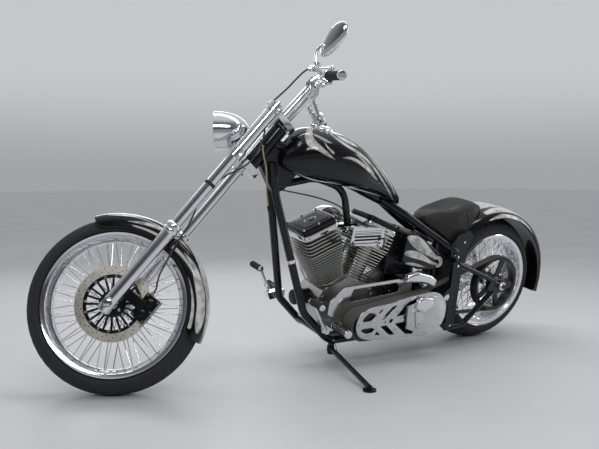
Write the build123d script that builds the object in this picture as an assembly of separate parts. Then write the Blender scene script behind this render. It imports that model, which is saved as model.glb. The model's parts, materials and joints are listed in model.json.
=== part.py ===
from build123d import *
import os
from math import acos, atan2, cos, degrees, hypot, pi, radians, sin, sqrt, tan

# A long chopper motorcycle, parked on its side stand with its steering on the right stop.
# Every piece is modelled on the upright, straight-ahead bike: x runs back from the front
# axle, y to the rider's right, z up from the floor, in millimetres. The last section leans
# and steers the finished pieces and puts the origin on the floor under the middle.

# Overall sizes
WHEELBASE = 1900.0
RAKE = 40.0                # fork legs and steering axis, from the vertical
LEG_TO_STEM = 45.0         # steering axis behind the plane of the fork legs
LEG_SPACING = 240.0        # between the centres of the two fork legs
STEER_STOP = 38.0          # steering lock each way
LEAN = 10.5                # parked lean, to the left

# Wheels
FRONT_R = 344.0
FRONT_TYRE_WIDTH = 118.0
FRONT_RIM_R = 281.5
FRONT_RIM_WIDTH = 92.0
FRONT_CROWN_R = FRONT_TYRE_WIDTH / 2
REAR_R = 330.0
REAR_RIM_R = 243.0
REAR_RIM_WIDTH = 208.0
REAR_CROWN_R = 125.0
RIM_WALL = 4.0
RIM_DROP = 30.0            # depth of the rim's well below its flange
BEAD_DEPTH = 13.0          # bead seat below the flange
TYRE_WALL = 10.0
AXLE_R = 12.5
RUNNING = 0.05             # radial clearance of a shaft in its bore
SEAT_GAP = 0.3             # between curved faces that only rest on each other
SPOKE_R = 2.3
SPOKE_PAIRS = 15           # pairs of crossed spokes on each side
SPOKE_LEAD = radians(26)   # angle between a spoke's two ends
FRONT_HUB_R = 31.0
FRONT_HUB_FLANGE_R = 46.0
FRONT_HUB_FLANGE_Y = 34.0
FRONT_HUB_HALF = 82.0
REAR_HUB_R = 42.0
REAR_HUB_FLANGE_R = 60.0
REAR_HUB_FLANGE_Y = 62.0
REAR_HUB_HALF = 152.0
FLANGE_WALL = 7.0
HUB_END = 0.72             # a hub's ends, as a share of its waist

# Brakes and final drive
DISC_R = 146.0
DISC_RING = 34.0           # radial width of the steel ring
DISC_WALL = 5.0
DISC_SLOTS = 16
DISC_GAP = 5.0             # between a disc and its caliper
FRONT_DISC_Y = -65.0
REAR_DISC_Y = 136.0
CARRIER_R = DISC_R - DISC_RING
PULLEY_R = 138.0
BELT_WALL = 6.0
FINAL_BELT_Y = -137.0
FINAL_BELT_WIDTH = 34.0
DRIVE_PULLEY_R = 52.0

# Fork
SLIDER_R = 27.0
TUBE_R = 20.5
COVER_R = 24.5
SLIDER_FOOT = -36.0
SLIDER_TOP = 356.0
SEAL_TOP = 378.0
LOWER_TREE = (732.0, 762.0)
UPPER_TREE = (970.0, 998.0)
TREE_REAR = 98.0
STEM_R = 20.0
NECK_R = 33.0
NECK_GAP = 5.0             # bearing gap between neck and trees
CLAMP_R = 30.0
CLAMP_PROUD = 4.0          # clamp rings stand out of the tree by this much, each way
RISER_SPREAD = 45.0
RISER_R = 17.0
RISER_BACK = 33.0
BAR_ALONG = 1181.0
BAR_BACK = 42.0
BAR_R = 12.7
BAR_HALF = 400.0
BAR_BEND = 70.0
GRIP_R = 17.5
GRIP_LENGTH = 125.0
PERCH_R = 22.0
LEVER_REACH = 52.0         # lever pivot ahead of the bar
CYLINDER_R = 13.0          # hand levers' fluid cylinders
CYLINDER_LENGTH = 48.0
HEADLIGHT_X = (386.0, 532.0)
HEADLIGHT_Z = 1047.0
HEADLIGHT_R = 81.5
MIRROR = (1305.0, 36.0, -260.0)       # centre of the mirror, as fork coordinates
MIRROR_HALF = (80.0, 38.0)
MIRROR_LONG = (0.58, -0.46, 0.68)     # along its long axis
MIRROR_FACING = (0.49, 0.86, 0.16)

# Hose and cable, which end in fittings
HOSE_R = 3.5
FRONT_HOSE = [  # from the left hand control to the front caliper, as fork coordinates
    (1181, 10, -164), (1164, -2, -140), (1125, -9, -124), (1082, -14, -112), (1040, -24, -98),
    (1000, -34, -82), (955, -27, -65), (914, 8, -62), (868, 36, -70), (815, 52, -80), (765, 60, -88),
    (715, 48, -92), (672, 27, -96),
    (630, 13, -96), (586, 4, -95), (540, -3, -93), (495, 8, -90), (449, 24, -86), (402, 35, -85),
    (345, 41, -87), (290, 50, -86), (240, 62, -88), (200, 70, -90), (168, 84, -87), (146, 98, -84)]
HOSE_FOOT = (118.5, 98.0, -84.0)      # where it meets the caliper
CABLE_R = 3.0
CONTROL_CABLE = [  # from the neck down between the twin tubes
    (556, -40, 990), (566, -41, 944), (588, -30, 896), (597, -26, 850), (607, -12, 802), (619, -2, 764),
    (629, 1, 728)]
CABLE_SLEEVE_R = 5.5
CABLE_LUGS = ((578, -26, 990), (666, 32, 700))    # where its end sleeves join the frame

# Mudguards
GUARD_WALL = 4.0
FRONT_FENDER_R = 364.0
FRONT_FENDER_HALF = 76.0
FRONT_FENDER_SKIRT = 62.0
FRONT_FENDER_ARC = (103.0, -26.0)     # from above the axle, towards the rear
REAR_FENDER_R = 382.0
REAR_FENDER_HALF = 138.0
REAR_FENDER_SKIRT = 42.0
REAR_FENDER_ARC = (136.0, -14.0)

# Frame
FRAME_R = 17.5
SEAT_RAIL_R = 19.5
BACKBONE_R = 24.0
RAIL_Z = 131.0
RAIL_HALF = 120.0
NECK_JOIN = (620.0, 18.0, 915.0)
NECK_KNEE = (648.0, 24.0, 775.0)
DOWN_TUBE_FOOT = (785.0, 110.0, 272.0)
RAIL_FRONT_X = 925.0
POST_X = 1515.0            # rear posts, inside the belt's line
POST_Y = 92.0
BACKBONE_END = (1225.0, 0.0, 742.0)
SEAT_RAIL = (
    (1205.0, 14.0, 752.0), (1324.0, 60.0, 684.0), (1497.0, 98.0, 579.0), (WHEELBASE - 298, 144.5, 508.0))
FENDER_PLATE_WALL = 12.0
PIVOT = (1540.0, 300.0)    # rear arm's pivot
PIVOT_R = 16.0

# Rear arm
ARM_Y = 174.0              # centre of the rear arm's side frames
ARM_WALL = 16.0
ARM_TUBE_R = 14.0
ARM_POST_X = (1560.0, 1617.0)
ARM_LOW_Z = 142.0
ARM_HIGH_Z = 462.0
AXLE_NUT_R = 21.0

# Engine
CRANK = (1022.0, 230.0)
CYLINDER_ANGLE = 22.5
CYLINDER_FOOT = 172.0      # distances up the cylinder axis from the crank
BARREL_TOP = 330.0
HEAD_TOP = 411.0
ROCKER_TOP = 469.0
ROCKER_HALF = 92.0
FIN_HALF = 94.0
BARREL_FINS = 12
HEAD_FINS = 5
FIN_WALL = 3.4
BORE_R = 56.0
CASE_R = 122.0
CASE_HALF = 74.0
DECK_HALF = 86.0
MOTOR_MOUNT_HALF = 68.0
INTAKE = (1022.0, 595.0)
AIR_CLEANER_R = 92.0
MOUNT_Z = (628.0, 640.0)     # block between the heads, under the brace
INLET_R = MOUNT_Z[0] - INTAKE[1] - 0.2
PIPE_R = 25.0
PIPE_REAR_X = (WHEELBASE - 40, WHEELBASE)
OIL_FILTER_R = 34.0
OIL_TANK_HALF = 118.0

# Primary drive
CLUTCH = (1385.0, 254.0)
MOTOR_PLATE_Y = (-166.0, -158.0)
PRIMARY_BELT_Y = (-242.0, -168.0)
OUTER_PLATE_Y = (-254.0, -246.0)
PRIMARY_FRONT_R = 62.0
PRIMARY_REAR_R = 92.0
CLUTCH_COVER_R = 90.0
CRANK_SHAFT_R = 18.0
CLUTCH_SHAFT_R = 20.0
SHAFT_SEAT = 20.0          # depth of each drive shaft in its pulley
HOLE_PLAY = 1.0            # around a shaft that passes through a plate

# Side stand
STAND_PIVOT = (918.0, -158.0, 110.0)
STAND_FOOT = (845.0, -550.0)
STAND_R = 11.0
STAND_PIN_R = 8.0
STAND_FOLDED = (1.0, -0.035, 0.02)     # the way the leg points when folded
PEG_SEAT_Y = 115.0          # the pegs' brackets reach in over the frame's tubes
PEG_EAR_WALL = 12.0
PEG_R = 17.0
PEG_END = 262.0
LEVER_END = 250.0
LEVER_R = 8.0
LEVER_EYE_HALF = 10.0       # the levers' eyes stand out past their rods, so more than LEVER_R

SIDES = (-1, 1)


# Shared shapes

def fork(along, back=0.0, y=0.0):
    """A point of the fork: along the legs from the front axle, and back from their plane."""
    s, c = sin(radians(RAKE)), cos(radians(RAKE))
    return Vector(along * s + back * c, y, FRONT_R + along * c - back * s)


FORK_UP = fork(1) - fork(0)
FORK_BACK = fork(0, 1) - fork(0)


def fork_plane(along, back=0.0, y=0.0):
    """Plane across the fork legs, with x to the rear and y to the right."""
    return Plane(origin=fork(along, back, y), x_dir=FORK_BACK, z_dir=FORK_UP)


def rod(start, end, r, bore=0.0):
    """A round bar or pipe between two points."""
    start, end = Vector(*start), Vector(*end)
    run = end - start
    base = Plane(origin=start, z_dir=run)
    bar = Solid.make_cylinder(r, run.length, base)
    return bar - Solid.make_cylinder(bore, run.length, base) if bore else bar


def across(x, z, r, y0, y1, bore=0.0):
    """A round bar or pipe across the bike, from y0 to y1."""
    return rod((x, y0, z), (x, y1, z), r, bore)


def tube(points, r, bends):
    """A round tube along straight runs joined by arcs, one bend radius per corner."""
    path = FilletPolyline(*points, radius=bends) if len(points) > 2 else Line(*points)
    start = Plane(origin=path @ 0, z_dir=path % 0)
    return sweep(start * Circle(r), path=path)


def cord(name, points, r):
    """A hose or cable: straight runs joined by arcs as large as the runs allow."""
    points = [Vector(*p) for p in points]
    bends = []
    for before, corner, after in zip(points, points[1:], points[2:]):
        first, second = corner - before, after - corner
        half_turn = radians(first.get_angle(second)) / 2
        bends.append(0.45 * min(first.length, second.length) / tan(half_turn))
    print(name, "bend radii", [round(bend) for bend in bends])
    return tube(points, r, bends)


def plate(points, y0, y1, corner=0.0):
    """A flat plate with its outline in x and z, from y0 to y1."""
    corners = [(x, y0, z) for x, z in points]
    outline = Polyline(*corners, close=True)
    if corner:
        outline = FilletPolyline(*corners, radius=corner, close=True)
    return extrude(make_face(outline), amount=y1 - y0, dir=(0, 1, 0))


def block(center, size, plane=Plane.XY):
    """A box around a point given in the plane's own axes."""
    return plane * Pos(*center) * Box(*size)


def turned(points, y_axis_at):
    """A ring turned about an axle across the bike: points are (radius, y)."""
    x, z = y_axis_at
    section = make_face(Polyline(*[(x + r, y, z) for r, y in points], close=True))
    return revolve(section, Axis((x, 0, z), (0, 1, 0)), 360)


def solids(*shapes):
    """All solids of some shapes, as one flat list."""
    found = []
    for shape in shapes:
        found += shape.solids() if hasattr(shape, "solids") else list(shape)
    return found


# Wheels

def tyre(center, outer_r, crown_r, crown_deg, rim_r, rim_half):
    """A tyre: round crown, straight side walls down to the bead, hollow and open inside."""
    x, z = center
    seat = rim_r - BEAD_DEPTH + SEAT_GAP

    def filled(crown, bead, foot):
        angle = radians(crown_deg)
        shoulder = x + outer_r - crown_r + crown * cos(angle)
        side = crown * sin(angle)
        top = ThreePointArc((shoulder, -side, z), (x + outer_r - crown_r + crown, 0, z), (shoulder, side, z))
        lower = Polyline((shoulder, side, z), (x + foot, bead, z), (x + seat, bead, z),
                         (x + seat, -bead, z), (x + foot, -bead, z), (shoulder, -side, z))
        return revolve(make_face([top, lower]), Axis((x, 0, z), (0, 1, 0)), 360)

    bead = rim_half - RIM_WALL - SEAT_GAP
    return filled(crown_r, bead, rim_r + 2) - filled(crown_r - TYRE_WALL, bead - TYRE_WALL, rim_r + 6)


def rim(center, rim_r, rim_half):
    """A drop-centre rim with rolled flanges."""
    seat = rim_r - BEAD_DEPTH
    well = rim_r - RIM_DROP
    ledge, floor = rim_half * 0.55, rim_half * 0.36
    outside = [(rim_r, rim_half), (rim_r, rim_half - RIM_WALL), (seat, rim_half - RIM_WALL), (seat, ledge),
               (well, floor)]
    inside = [(well - RIM_WALL, floor + RIM_WALL * 0.4), (seat - RIM_WALL, ledge + RIM_WALL),
              (seat - RIM_WALL, rim_half)]
    section = outside + [(r, -y) for r, y in reversed(outside)]
    section += [(r, -y) for r, y in reversed(inside)] + inside
    return turned(section, center)


def hub(center, body_r, flange_r, flange_y, half):
    """A hub with two spoke flanges, bored for its axle."""
    x, z = center
    flanges = [across(x, z, flange_r, side * flange_y - FLANGE_WALL / 2, side * flange_y + FLANGE_WALL / 2)
               for side in SIDES]
    waist = across(x, z, body_r, -flange_y, flange_y)
    ends = across(x, z, body_r * HUB_END, -half, half)
    whole = waist + ends + flanges
    return whole - across(x, z, AXLE_R + RUNNING, -half, half)


def spokes(center, hub_r, hub_y, rim_r):
    """Crossed wire spokes from each hub flange to the rim's well."""
    x, z = center
    made = []
    step = pi / SPOKE_PAIRS
    inner, outer = hub_r - 4, rim_r - RIM_DROP - RIM_WALL
    for side in SIDES:
        for i in range(SPOKE_PAIRS * 2):
            lead = 1 if i % 2 else -1
            at_hub = i * step + (side > 0) * step / 2
            at_rim = at_hub + lead * SPOKE_LEAD
            y = side * (hub_y + lead * (FLANGE_WALL / 2 - 0.5))
            start = (x + inner * cos(at_hub), y, z + inner * sin(at_hub))
            end = (x + outer * cos(at_rim), side * 6, z + outer * sin(at_rim))
            made.append(rod(start, end, SPOKE_R))
    return made


def disc(center, y, inner_r):
    """A brake disc: a steel ring on a slotted carrier, around the hub."""
    x, z = center
    ring = across(x, z, DISC_R, y - DISC_WALL / 2, y + DISC_WALL / 2, CARRIER_R - 8)
    carrier = across(x, z, CARRIER_R - 8, y - 3, y + 3, inner_r)
    for i in range(DISC_SLOTS):
        slot = Pos(x, y, z) * Rot(0, 360 / DISC_SLOTS * i, 0) * Pos((CARRIER_R + inner_r) / 2 - 4, 0, 0)
        carrier -= slot * Box(CARRIER_R - inner_r - 34, 12, 11)
    return ring + carrier


FRONT_AXLE = (0.0, FRONT_R)
REAR_AXLE = (WHEELBASE, REAR_R)


def front_wheel():
    hub_sizes = (FRONT_HUB_R, FRONT_HUB_FLANGE_R, FRONT_HUB_FLANGE_Y, FRONT_HUB_HALF)
    return {
        "front_tyre": solids(tyre(FRONT_AXLE, FRONT_R, FRONT_CROWN_R, 75, FRONT_RIM_R, FRONT_RIM_WIDTH / 2)),
        "front_rim": solids(rim(FRONT_AXLE, FRONT_RIM_R, FRONT_RIM_WIDTH / 2)),
        "front_spokes": spokes(FRONT_AXLE, FRONT_HUB_FLANGE_R, FRONT_HUB_FLANGE_Y, FRONT_RIM_R),
        "front_hub": solids(hub(FRONT_AXLE, *hub_sizes)),
        "front_brake_disc": solids(disc(FRONT_AXLE, FRONT_DISC_Y, FRONT_HUB_R * HUB_END))}


def rear_pulley():
    """The belt pulley on the rear hub: a flanged rim on five arms."""
    x, z = REAR_AXLE
    half = FINAL_BELT_WIDTH / 2
    whole = across(x, z, PULLEY_R, FINAL_BELT_Y - half, FINAL_BELT_Y + half, PULLEY_R - 14)
    whole += across(x, z, PULLEY_R + 4, FINAL_BELT_Y + half, FINAL_BELT_Y + half + 5, PULLEY_R - 14)
    for i in range(5):
        whole += Pos(x, FINAL_BELT_Y, z) * Rot(0, 72 * i, 0) * Pos(78, 0, 0) * Box(104, 10, 26)
    whole += across(x, z, 44, FINAL_BELT_Y - 12, FINAL_BELT_Y + 12)
    return solids(whole - across(x, z, REAR_HUB_R * HUB_END, -200, 0))


def rear_wheel():
    return {
        "rear_tyre": solids(tyre(REAR_AXLE, REAR_R, REAR_CROWN_R, 62, REAR_RIM_R, REAR_RIM_WIDTH / 2)),
        "rear_rim": solids(rim(REAR_AXLE, REAR_RIM_R, REAR_RIM_WIDTH / 2)),
        "rear_spokes": spokes(REAR_AXLE, REAR_HUB_FLANGE_R, REAR_HUB_FLANGE_Y, REAR_RIM_R),
        "rear_hub": solids(hub(REAR_AXLE, REAR_HUB_R, REAR_HUB_FLANGE_R, REAR_HUB_FLANGE_Y, REAR_HUB_HALF)),
        "rear_brake_disc": solids(disc(REAR_AXLE, REAR_DISC_Y, REAR_HUB_R * HUB_END)),
        "rear_pulley": rear_pulley()}


# Fork and steering

def triple_trees():
    """The two clamps that hold the fork legs, joined by the steering stem."""
    half = LEG_SPACING / 2
    whole = rod(fork(LOWER_TREE[0], LEG_TO_STEM), fork(UPPER_TREE[1], LEG_TO_STEM), STEM_R)
    for low, high in (LOWER_TREE, UPPER_TREE):
        outline = [(-14, -half), (-22, 0), (-14, half), (20, half), (TREE_REAR - 16, 34), (TREE_REAR, 0),
                   (TREE_REAR - 16, -34), (20, -half)]
        whole += extrude(fork_plane(low) * make_face(Polyline(*outline, close=True)), amount=high - low)
        for side in SIDES:
            ring = (fork(low - CLAMP_PROUD, 0, side * half), fork(high + CLAMP_PROUD, 0, side * half))
            whole += rod(*ring, CLAMP_R)
    for side in SIDES:
        bore = (fork(LOWER_TREE[0] - 9, 0, side * half), fork(UPPER_TREE[1] + 9, 0, side * half))
        whole -= rod(*bore, TUBE_R + SEAT_GAP)
    return solids(whole)


def fork_tubes():
    made = []
    for side in SIDES:
        y = side * LEG_SPACING / 2
        leg = rod(fork(SLIDER_TOP - 120, 0, y), fork(UPPER_TREE[1] + 6, 0, y), TUBE_R)
        leg += rod(fork(LOWER_TREE[1] + 6, 0, y), fork(UPPER_TREE[0] - 6, 0, y), COVER_R)
        made.append(leg)
    return solids(*made)


def fork_sliders():
    made = []
    for side in SIDES:
        y = side * LEG_SPACING / 2
        slider = rod(fork(SLIDER_FOOT, 0, y), fork(SLIDER_TOP, 0, y), SLIDER_R)
        slider += rod(fork(SLIDER_TOP, 0, y), fork(SEAL_TOP, 0, y), SLIDER_R + 2)
        slider -= rod(fork(SLIDER_TOP - 121, 0, y), fork(SEAL_TOP + 1, 0, y), TUBE_R + SEAT_GAP)
        slider -= across(0, FRONT_R, AXLE_R + RUNNING, y - 40, y + 40)
        made.append(slider)
    return solids(*made)


def front_axle():
    reach = LEG_SPACING / 2 + SLIDER_R + 10
    axle = across(0, FRONT_R, AXLE_R, -reach, reach)
    inner = LEG_SPACING / 2 - SLIDER_R - SEAT_GAP
    for side in SIDES:
        axle += across(0, FRONT_R, 18, side * (FRONT_HUB_HALF + 1), side * inner)
        axle += across(0, FRONT_R, 19, side * (reach - 9.5), side * reach)
    return solids(axle)


def fender(center, outer_r, half, skirt, arc):
    """A mudguard: a thin channel turned about an axle, from one angle to another."""
    x, z = center
    corner = 34.0
    inner = half - GUARD_WALL
    outside = [(outer_r - skirt, half), (outer_r - corner, half), (outer_r, half - corner)]
    inside = [(outer_r - GUARD_WALL, half - corner), (outer_r - corner, inner), (outer_r - skirt, inner)]
    loop = outside + [(r, -y) for r, y in reversed(outside)]
    loop += [(r, -y) for r, y in reversed(inside)] + inside
    axle = Axis((x, 0, z), (0, 1, 0))
    face = make_face(Polyline(*[(x + r, y, z) for r, y in loop], close=True)).rotate(axle, -arc[1])
    return revolve(face, axle, arc[1] - arc[0])


def front_fender():
    guard = fender(FRONT_AXLE, FRONT_FENDER_R, FRONT_FENDER_HALF, FRONT_FENDER_SKIRT, FRONT_FENDER_ARC)
    for side in SIDES:
        inner = side * (FRONT_FENDER_HALF - 2)
        outer = side * (LEG_SPACING / 2 - SLIDER_R - SEAT_GAP)
        for along in (310, 325):
            foot = fork(along)
            guard += across(foot.X, foot.Z, 7, inner, outer)
    return solids(guard)


def headlight():
    """A bullet lamp: the shell with its bracket to the lower clamp, and the lens."""
    x0, x1 = HEADLIGHT_X
    length = x1 - x0
    bore = HEADLIGHT_R - 5
    outline = [(12, 0), (12, bore), (0, bore), (0, HEADLIGHT_R), (18, HEADLIGHT_R)]
    outline += [(x * length, r * HEADLIGHT_R) for x, r in ((0.45, 0.88), (0.75, 0.62), (0.93, 0.3))]
    outline += [(length, 0)]
    section = make_face(Polyline(*[(x0 + u, 0, HEADLIGHT_Z + r) for u, r in outline], close=True))
    shell = revolve(section, Axis((x0, 0, HEADLIGHT_Z), (1, 0, 0)), 360)
    foot, knee = fork(LOWER_TREE[1] + SEAT_GAP, -8), fork(LOWER_TREE[1] + 26, -8)
    shell += rod(foot, knee, 13) + Pos(*knee) * Sphere(13)
    shell += rod(knee, (x0 + 0.5 * length, 0, HEADLIGHT_Z - 50), 13)
    lens = Solid.make_cylinder(bore - SEAT_GAP, 8, Plane((x0 + 3.5, 0, HEADLIGHT_Z), z_dir=(1, 0, 0)))
    return {"headlight_shell": solids(shell), "headlight_lens": [lens]}


def bar_path():
    """Corners of the handlebar, from its left end to its right end."""
    side = [(BAR_ALONG, BAR_BACK, 85), (BAR_ALONG - 3, BAR_BACK + 43, 210),
            (BAR_ALONG - 25, BAR_BACK + 135, BAR_HALF)]
    left = [fork(along, back, -y) for along, back, y in reversed(side)]
    right = [fork(along, back, y) for along, back, y in side]
    return left + right


def handlebar():
    """The handlebar, and its two risers with the clamp block on top of them."""
    bar = tube(bar_path(), BAR_R, BAR_BEND)
    risers = fork_plane(BAR_ALONG, BAR_BACK) * Box(44, 2 * RISER_SPREAD + 46, 46)
    for side in SIDES:
        y = side * RISER_SPREAD
        risers += rod(fork(UPPER_TREE[1] + 1, RISER_BACK, y), fork(BAR_ALONG - 20, BAR_BACK - 3, y), RISER_R)
    risers -= rod(fork(BAR_ALONG, BAR_BACK, -90), fork(BAR_ALONG, BAR_BACK, 90), BAR_R + RUNNING)
    return {"handlebar": solids(bar), "handlebar_risers": solids(risers)}


def bar_end(side):
    """The tip of the bar on one side, and the direction from it along the bar."""
    points = bar_path()
    tip, knee = (points[-1], points[-2]) if side > 0 else (points[0], points[1])
    return tip, (knee - tip).normalized()


def grips():
    made = []
    for side in SIDES:
        tip, inward = bar_end(side)
        grip = rod(tip - inward * 6, tip + inward * GRIP_LENGTH, GRIP_R)
        made.append(grip - rod(tip, tip + inward * (GRIP_LENGTH + 1), BAR_R + RUNNING))
    return solids(*made)


def lever_pivot(side):
    """The perch's arm: where it leaves the bar, and where the lever turns."""
    tip, inward = bar_end(side)
    root = tip + inward * (GRIP_LENGTH + 52)
    return root, root - FORK_BACK * LEVER_REACH


def hand_controls():
    """On each side a switch housing, the perch with its lever, and the master cylinder."""
    made = []
    for side in SIDES:
        tip, inward = bar_end(side)
        near, far = tip + inward * (GRIP_LENGTH + 4), tip + inward * (GRIP_LENGTH + 66)
        root, pivot = lever_pivot(side)
        perch = rod(near, far, PERCH_R)
        perch += rod(root, pivot, 10) + Pos(*pivot) * Sphere(11)
        lever_end = tip - FORK_BACK * (LEVER_REACH - 6) - inward * 2
        perch += rod(pivot, lever_end, 6) + Pos(*lever_end) * Sphere(9)
        perch += rod(pivot, pivot + inward * CYLINDER_LENGTH, CYLINDER_R)
        if side > 0:
            cup = pivot + inward * 26
            perch += rod(cup, cup + FORK_UP * 36, 21)
        made.append(perch - rod(near - inward * 6, far + inward * 12, BAR_R + RUNNING))
    return solids(*made)


def mirror():
    """The single mirror, on a bowed stem from the left perch."""
    pivot = lever_pivot(-1)[1]
    centre = fork(*MIRROR)
    head_plane = Plane(origin=centre, x_dir=MIRROR_LONG, z_dir=MIRROR_FACING)
    foot = pivot + FORK_UP * (CYLINDER_R + 0.9)
    knee = foot + FORK_UP * 42
    stem = tube([foot, knee, centre - head_plane.x_dir * (MIRROR_HALF[0] - 24)], 7, 24)
    head = extrude(head_plane * Pos(0, 0, -8) * Ellipse(*MIRROR_HALF), amount=16)
    return solids(stem + head)


def front_hose():
    """The brake's hose, from the left hand control down the back of the left leg to the caliper."""
    inward = bar_end(-1)[1]
    start = lever_pivot(-1)[1] + inward * (CYLINDER_LENGTH + 0.5)
    route = [start] + [fork(*point) for point in FRONT_HOSE] + [fork(*HOSE_FOOT)]
    return solids(cord("front_hose", route, HOSE_R))


def front_caliper():
    """Four-piston caliper over the disc, with its bracket to the left leg."""
    height = 104
    seat = fork_plane(HOSE_FOOT[0] - 0.5 - height / 2, 112, FRONT_DISC_Y)
    body = seat * Box(62, 56, height)
    gap = DISC_WALL / 2 + DISC_GAP
    body -= across(*FRONT_AXLE, DISC_R + DISC_GAP, FRONT_DISC_Y - gap, FRONT_DISC_Y + gap)
    ear = fork_plane(66, 60, FRONT_DISC_Y - 28) * Box(90, 26, 40)
    ear -= rod(fork(20, 0, -LEG_SPACING / 2), fork(120, 0, -LEG_SPACING / 2), SLIDER_R + SEAT_GAP)
    return solids(body + ear)


# Frame

def neck_ends():
    """Lower and upper end of the steering neck."""
    return (fork(LOWER_TREE[1] + NECK_GAP, LEG_TO_STEM), fork(UPPER_TREE[0] - NECK_GAP, LEG_TO_STEM))


def backbone_ends():
    low, high = neck_ends()
    return (low + high) * 0.5 + FORK_UP * 30, Vector(*BACKBONE_END)


def seat_rail(side, r):
    points = [(x, side * y, z) for x, y, z in SEAT_RAIL]
    return tube(points, r, [90, 160])


def cradle_tube(side, r):
    """One side's tube: down from the neck, back along the bottom and up behind the engine."""
    points = [NECK_JOIN, NECK_KNEE, DOWN_TUBE_FOOT, (RAIL_FRONT_X, RAIL_HALF, RAIL_Z),
              (POST_X - 115, RAIL_HALF, RAIL_Z), (POST_X, POST_Y, RAIL_Z), (POST_X, POST_Y, 562)]
    return tube([(x, side * y, z) for x, y, z in points], r, [300, 90, 90, 150, 60])


def frame():
    """The welded frame: neck, backbone, twin down tubes and bottom rails, posts and seat rails."""
    low, high = neck_ends()
    whole = rod(low, high, NECK_R) + rod(*backbone_ends(), BACKBONE_R)
    for side in SIDES:
        whole += cradle_tube(side, FRAME_R)
        whole += seat_rail(side, SEAT_RAIL_R)
    whole += plate([(568, 900), (640, 1000), (800, 930), (690, 800), (640, 780)], -16, 16, 12)
    whole += tube([(640, 0, 812), (850, 0, 848), (1004, 0, 798), (1046, 0, 640)], FRAME_R - 1, [160, 110])
    low_z, high_z = MOUNT_Z
    whole += block((CRANK[0], 0, (low_z + high_z) / 2), (2 * MOTOR_MOUNT_HALF, 36, high_z - low_z))
    whole += across(RAIL_FRONT_X - 32, RAIL_Z + 32, FRAME_R - 3, -RAIL_HALF + 3, RAIL_HALF - 3)
    whole += across(POST_X, RAIL_Z, FRAME_R - 3, -POST_Y, POST_Y)
    whole += across(POST_X, 555, FRAME_R - 3, -POST_Y, POST_Y)
    whole += across(*PIVOT, PIVOT_R, -ARM_Y + ARM_WALL / 2 + 0.2, ARM_Y - ARM_WALL / 2 - 0.2)
    x, z = REAR_AXLE
    ears = [(x - 328, z + 142), (x - 340, z + 215), (x - 300, z + 266), (x - 232, z + 288),
            (x - 204, z + 262), (x - 230, z + 190), (x - 236, z + 122), (x - 288, z + 96)]
    for side in SIDES:
        inner = REAR_FENDER_HALF + SEAT_GAP
        faces = sorted((side * inner, side * (inner + FENDER_PLATE_WALL)))
        whole += plate(ears, *faces, 10)
    whole += stand_bracket()
    whole += cable_sleeves()
    return solids(whole - rod(low - FORK_UP, high + FORK_UP, STEM_R + RUNNING))


def control_cable():
    """The cable from the neck down in front of the twin tubes, between two end sleeves."""
    return solids(cord("control_cable", CONTROL_CABLE, CABLE_R))


def cable_sleeves():
    """The cable's two end sleeves, each on a lug of the frame."""
    points = [Vector(*point) for point in CONTROL_CABLE]
    made = []
    for end, inner, lug in ((points[0], points[1], CABLE_LUGS[0]), (points[-1], points[-2], CABLE_LUGS[1])):
        out = (end - inner).normalized()
        made += solids(rod(end + out * 0.3, end + out * 24, CABLE_SLEEVE_R) + rod(end + out * 12, lug, 4))
    return made


def swingarm():
    """The triangulated rear arm: a side frame each side, on the pivot tube's ends."""
    x, z = REAR_AXLE
    front, rear = ARM_POST_X
    made = []
    for side in SIDES:
        y = side * ARM_Y
        low, high = y - ARM_WALL / 2, y + ARM_WALL / 2
        post = [(front, ARM_LOW_Z - 18), (rear, ARM_LOW_Z - 18), (rear, ARM_HIGH_Z + 16),
                (front, ARM_HIGH_Z + 10), (front, PIVOT[1] + 46), (PIVOT[0] - 24, PIVOT[1] + 14),
                (PIVOT[0] - 24, PIVOT[1] - 14), (front, PIVOT[1] - 46)]
        axle_plate = [(x - 62, z + 34), (x + 78, z + 14), (x + 84, z - 14), (x - 40, z - 52),
                      (x - 90, z - 10)]
        part = plate(post, low, high, 6) + plate(axle_plate, low, high, 8)
        lower = [(rear - 20, y, ARM_LOW_Z), (rear + 62, y, ARM_LOW_Z), (x - 44, y, z - 30)]
        part += tube(lower, ARM_TUBE_R, 70)
        part += rod((rear - 20, y, ARM_HIGH_Z), (x - 44, y, z + 26), ARM_TUBE_R)
        part -= across(x, z, AXLE_R + RUNNING, y - 30, y + 30)
        made.append(part)
    return solids(*made)


def rear_axle():
    x, z = REAR_AXLE
    reach = ARM_Y + ARM_WALL / 2
    axle = across(x, z, AXLE_R, -reach - 22, reach + 22)
    for side in SIDES:
        axle += across(x, z, AXLE_NUT_R, side * (reach + 0.2), side * (reach + 16))
        axle += across(x, z, AXLE_NUT_R - 2, side * (REAR_HUB_HALF + 1), side * (ARM_Y - ARM_WALL / 2 - 0.2))
    return solids(axle)


# Engine and drive

def cylinder_plane(lean):
    """Plane across one cylinder at the crank: x forward to rear along the fins, z up its axis."""
    up = Vector(-lean * sin(radians(CYLINDER_ANGLE)), 0, cos(radians(CYLINDER_ANGLE)))
    along = Vector(cos(radians(CYLINDER_ANGLE)), 0, lean * sin(radians(CYLINDER_ANGLE)))
    return Plane(origin=(CRANK[0], 0, CRANK[1]), x_dir=along, z_dir=up)


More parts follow.
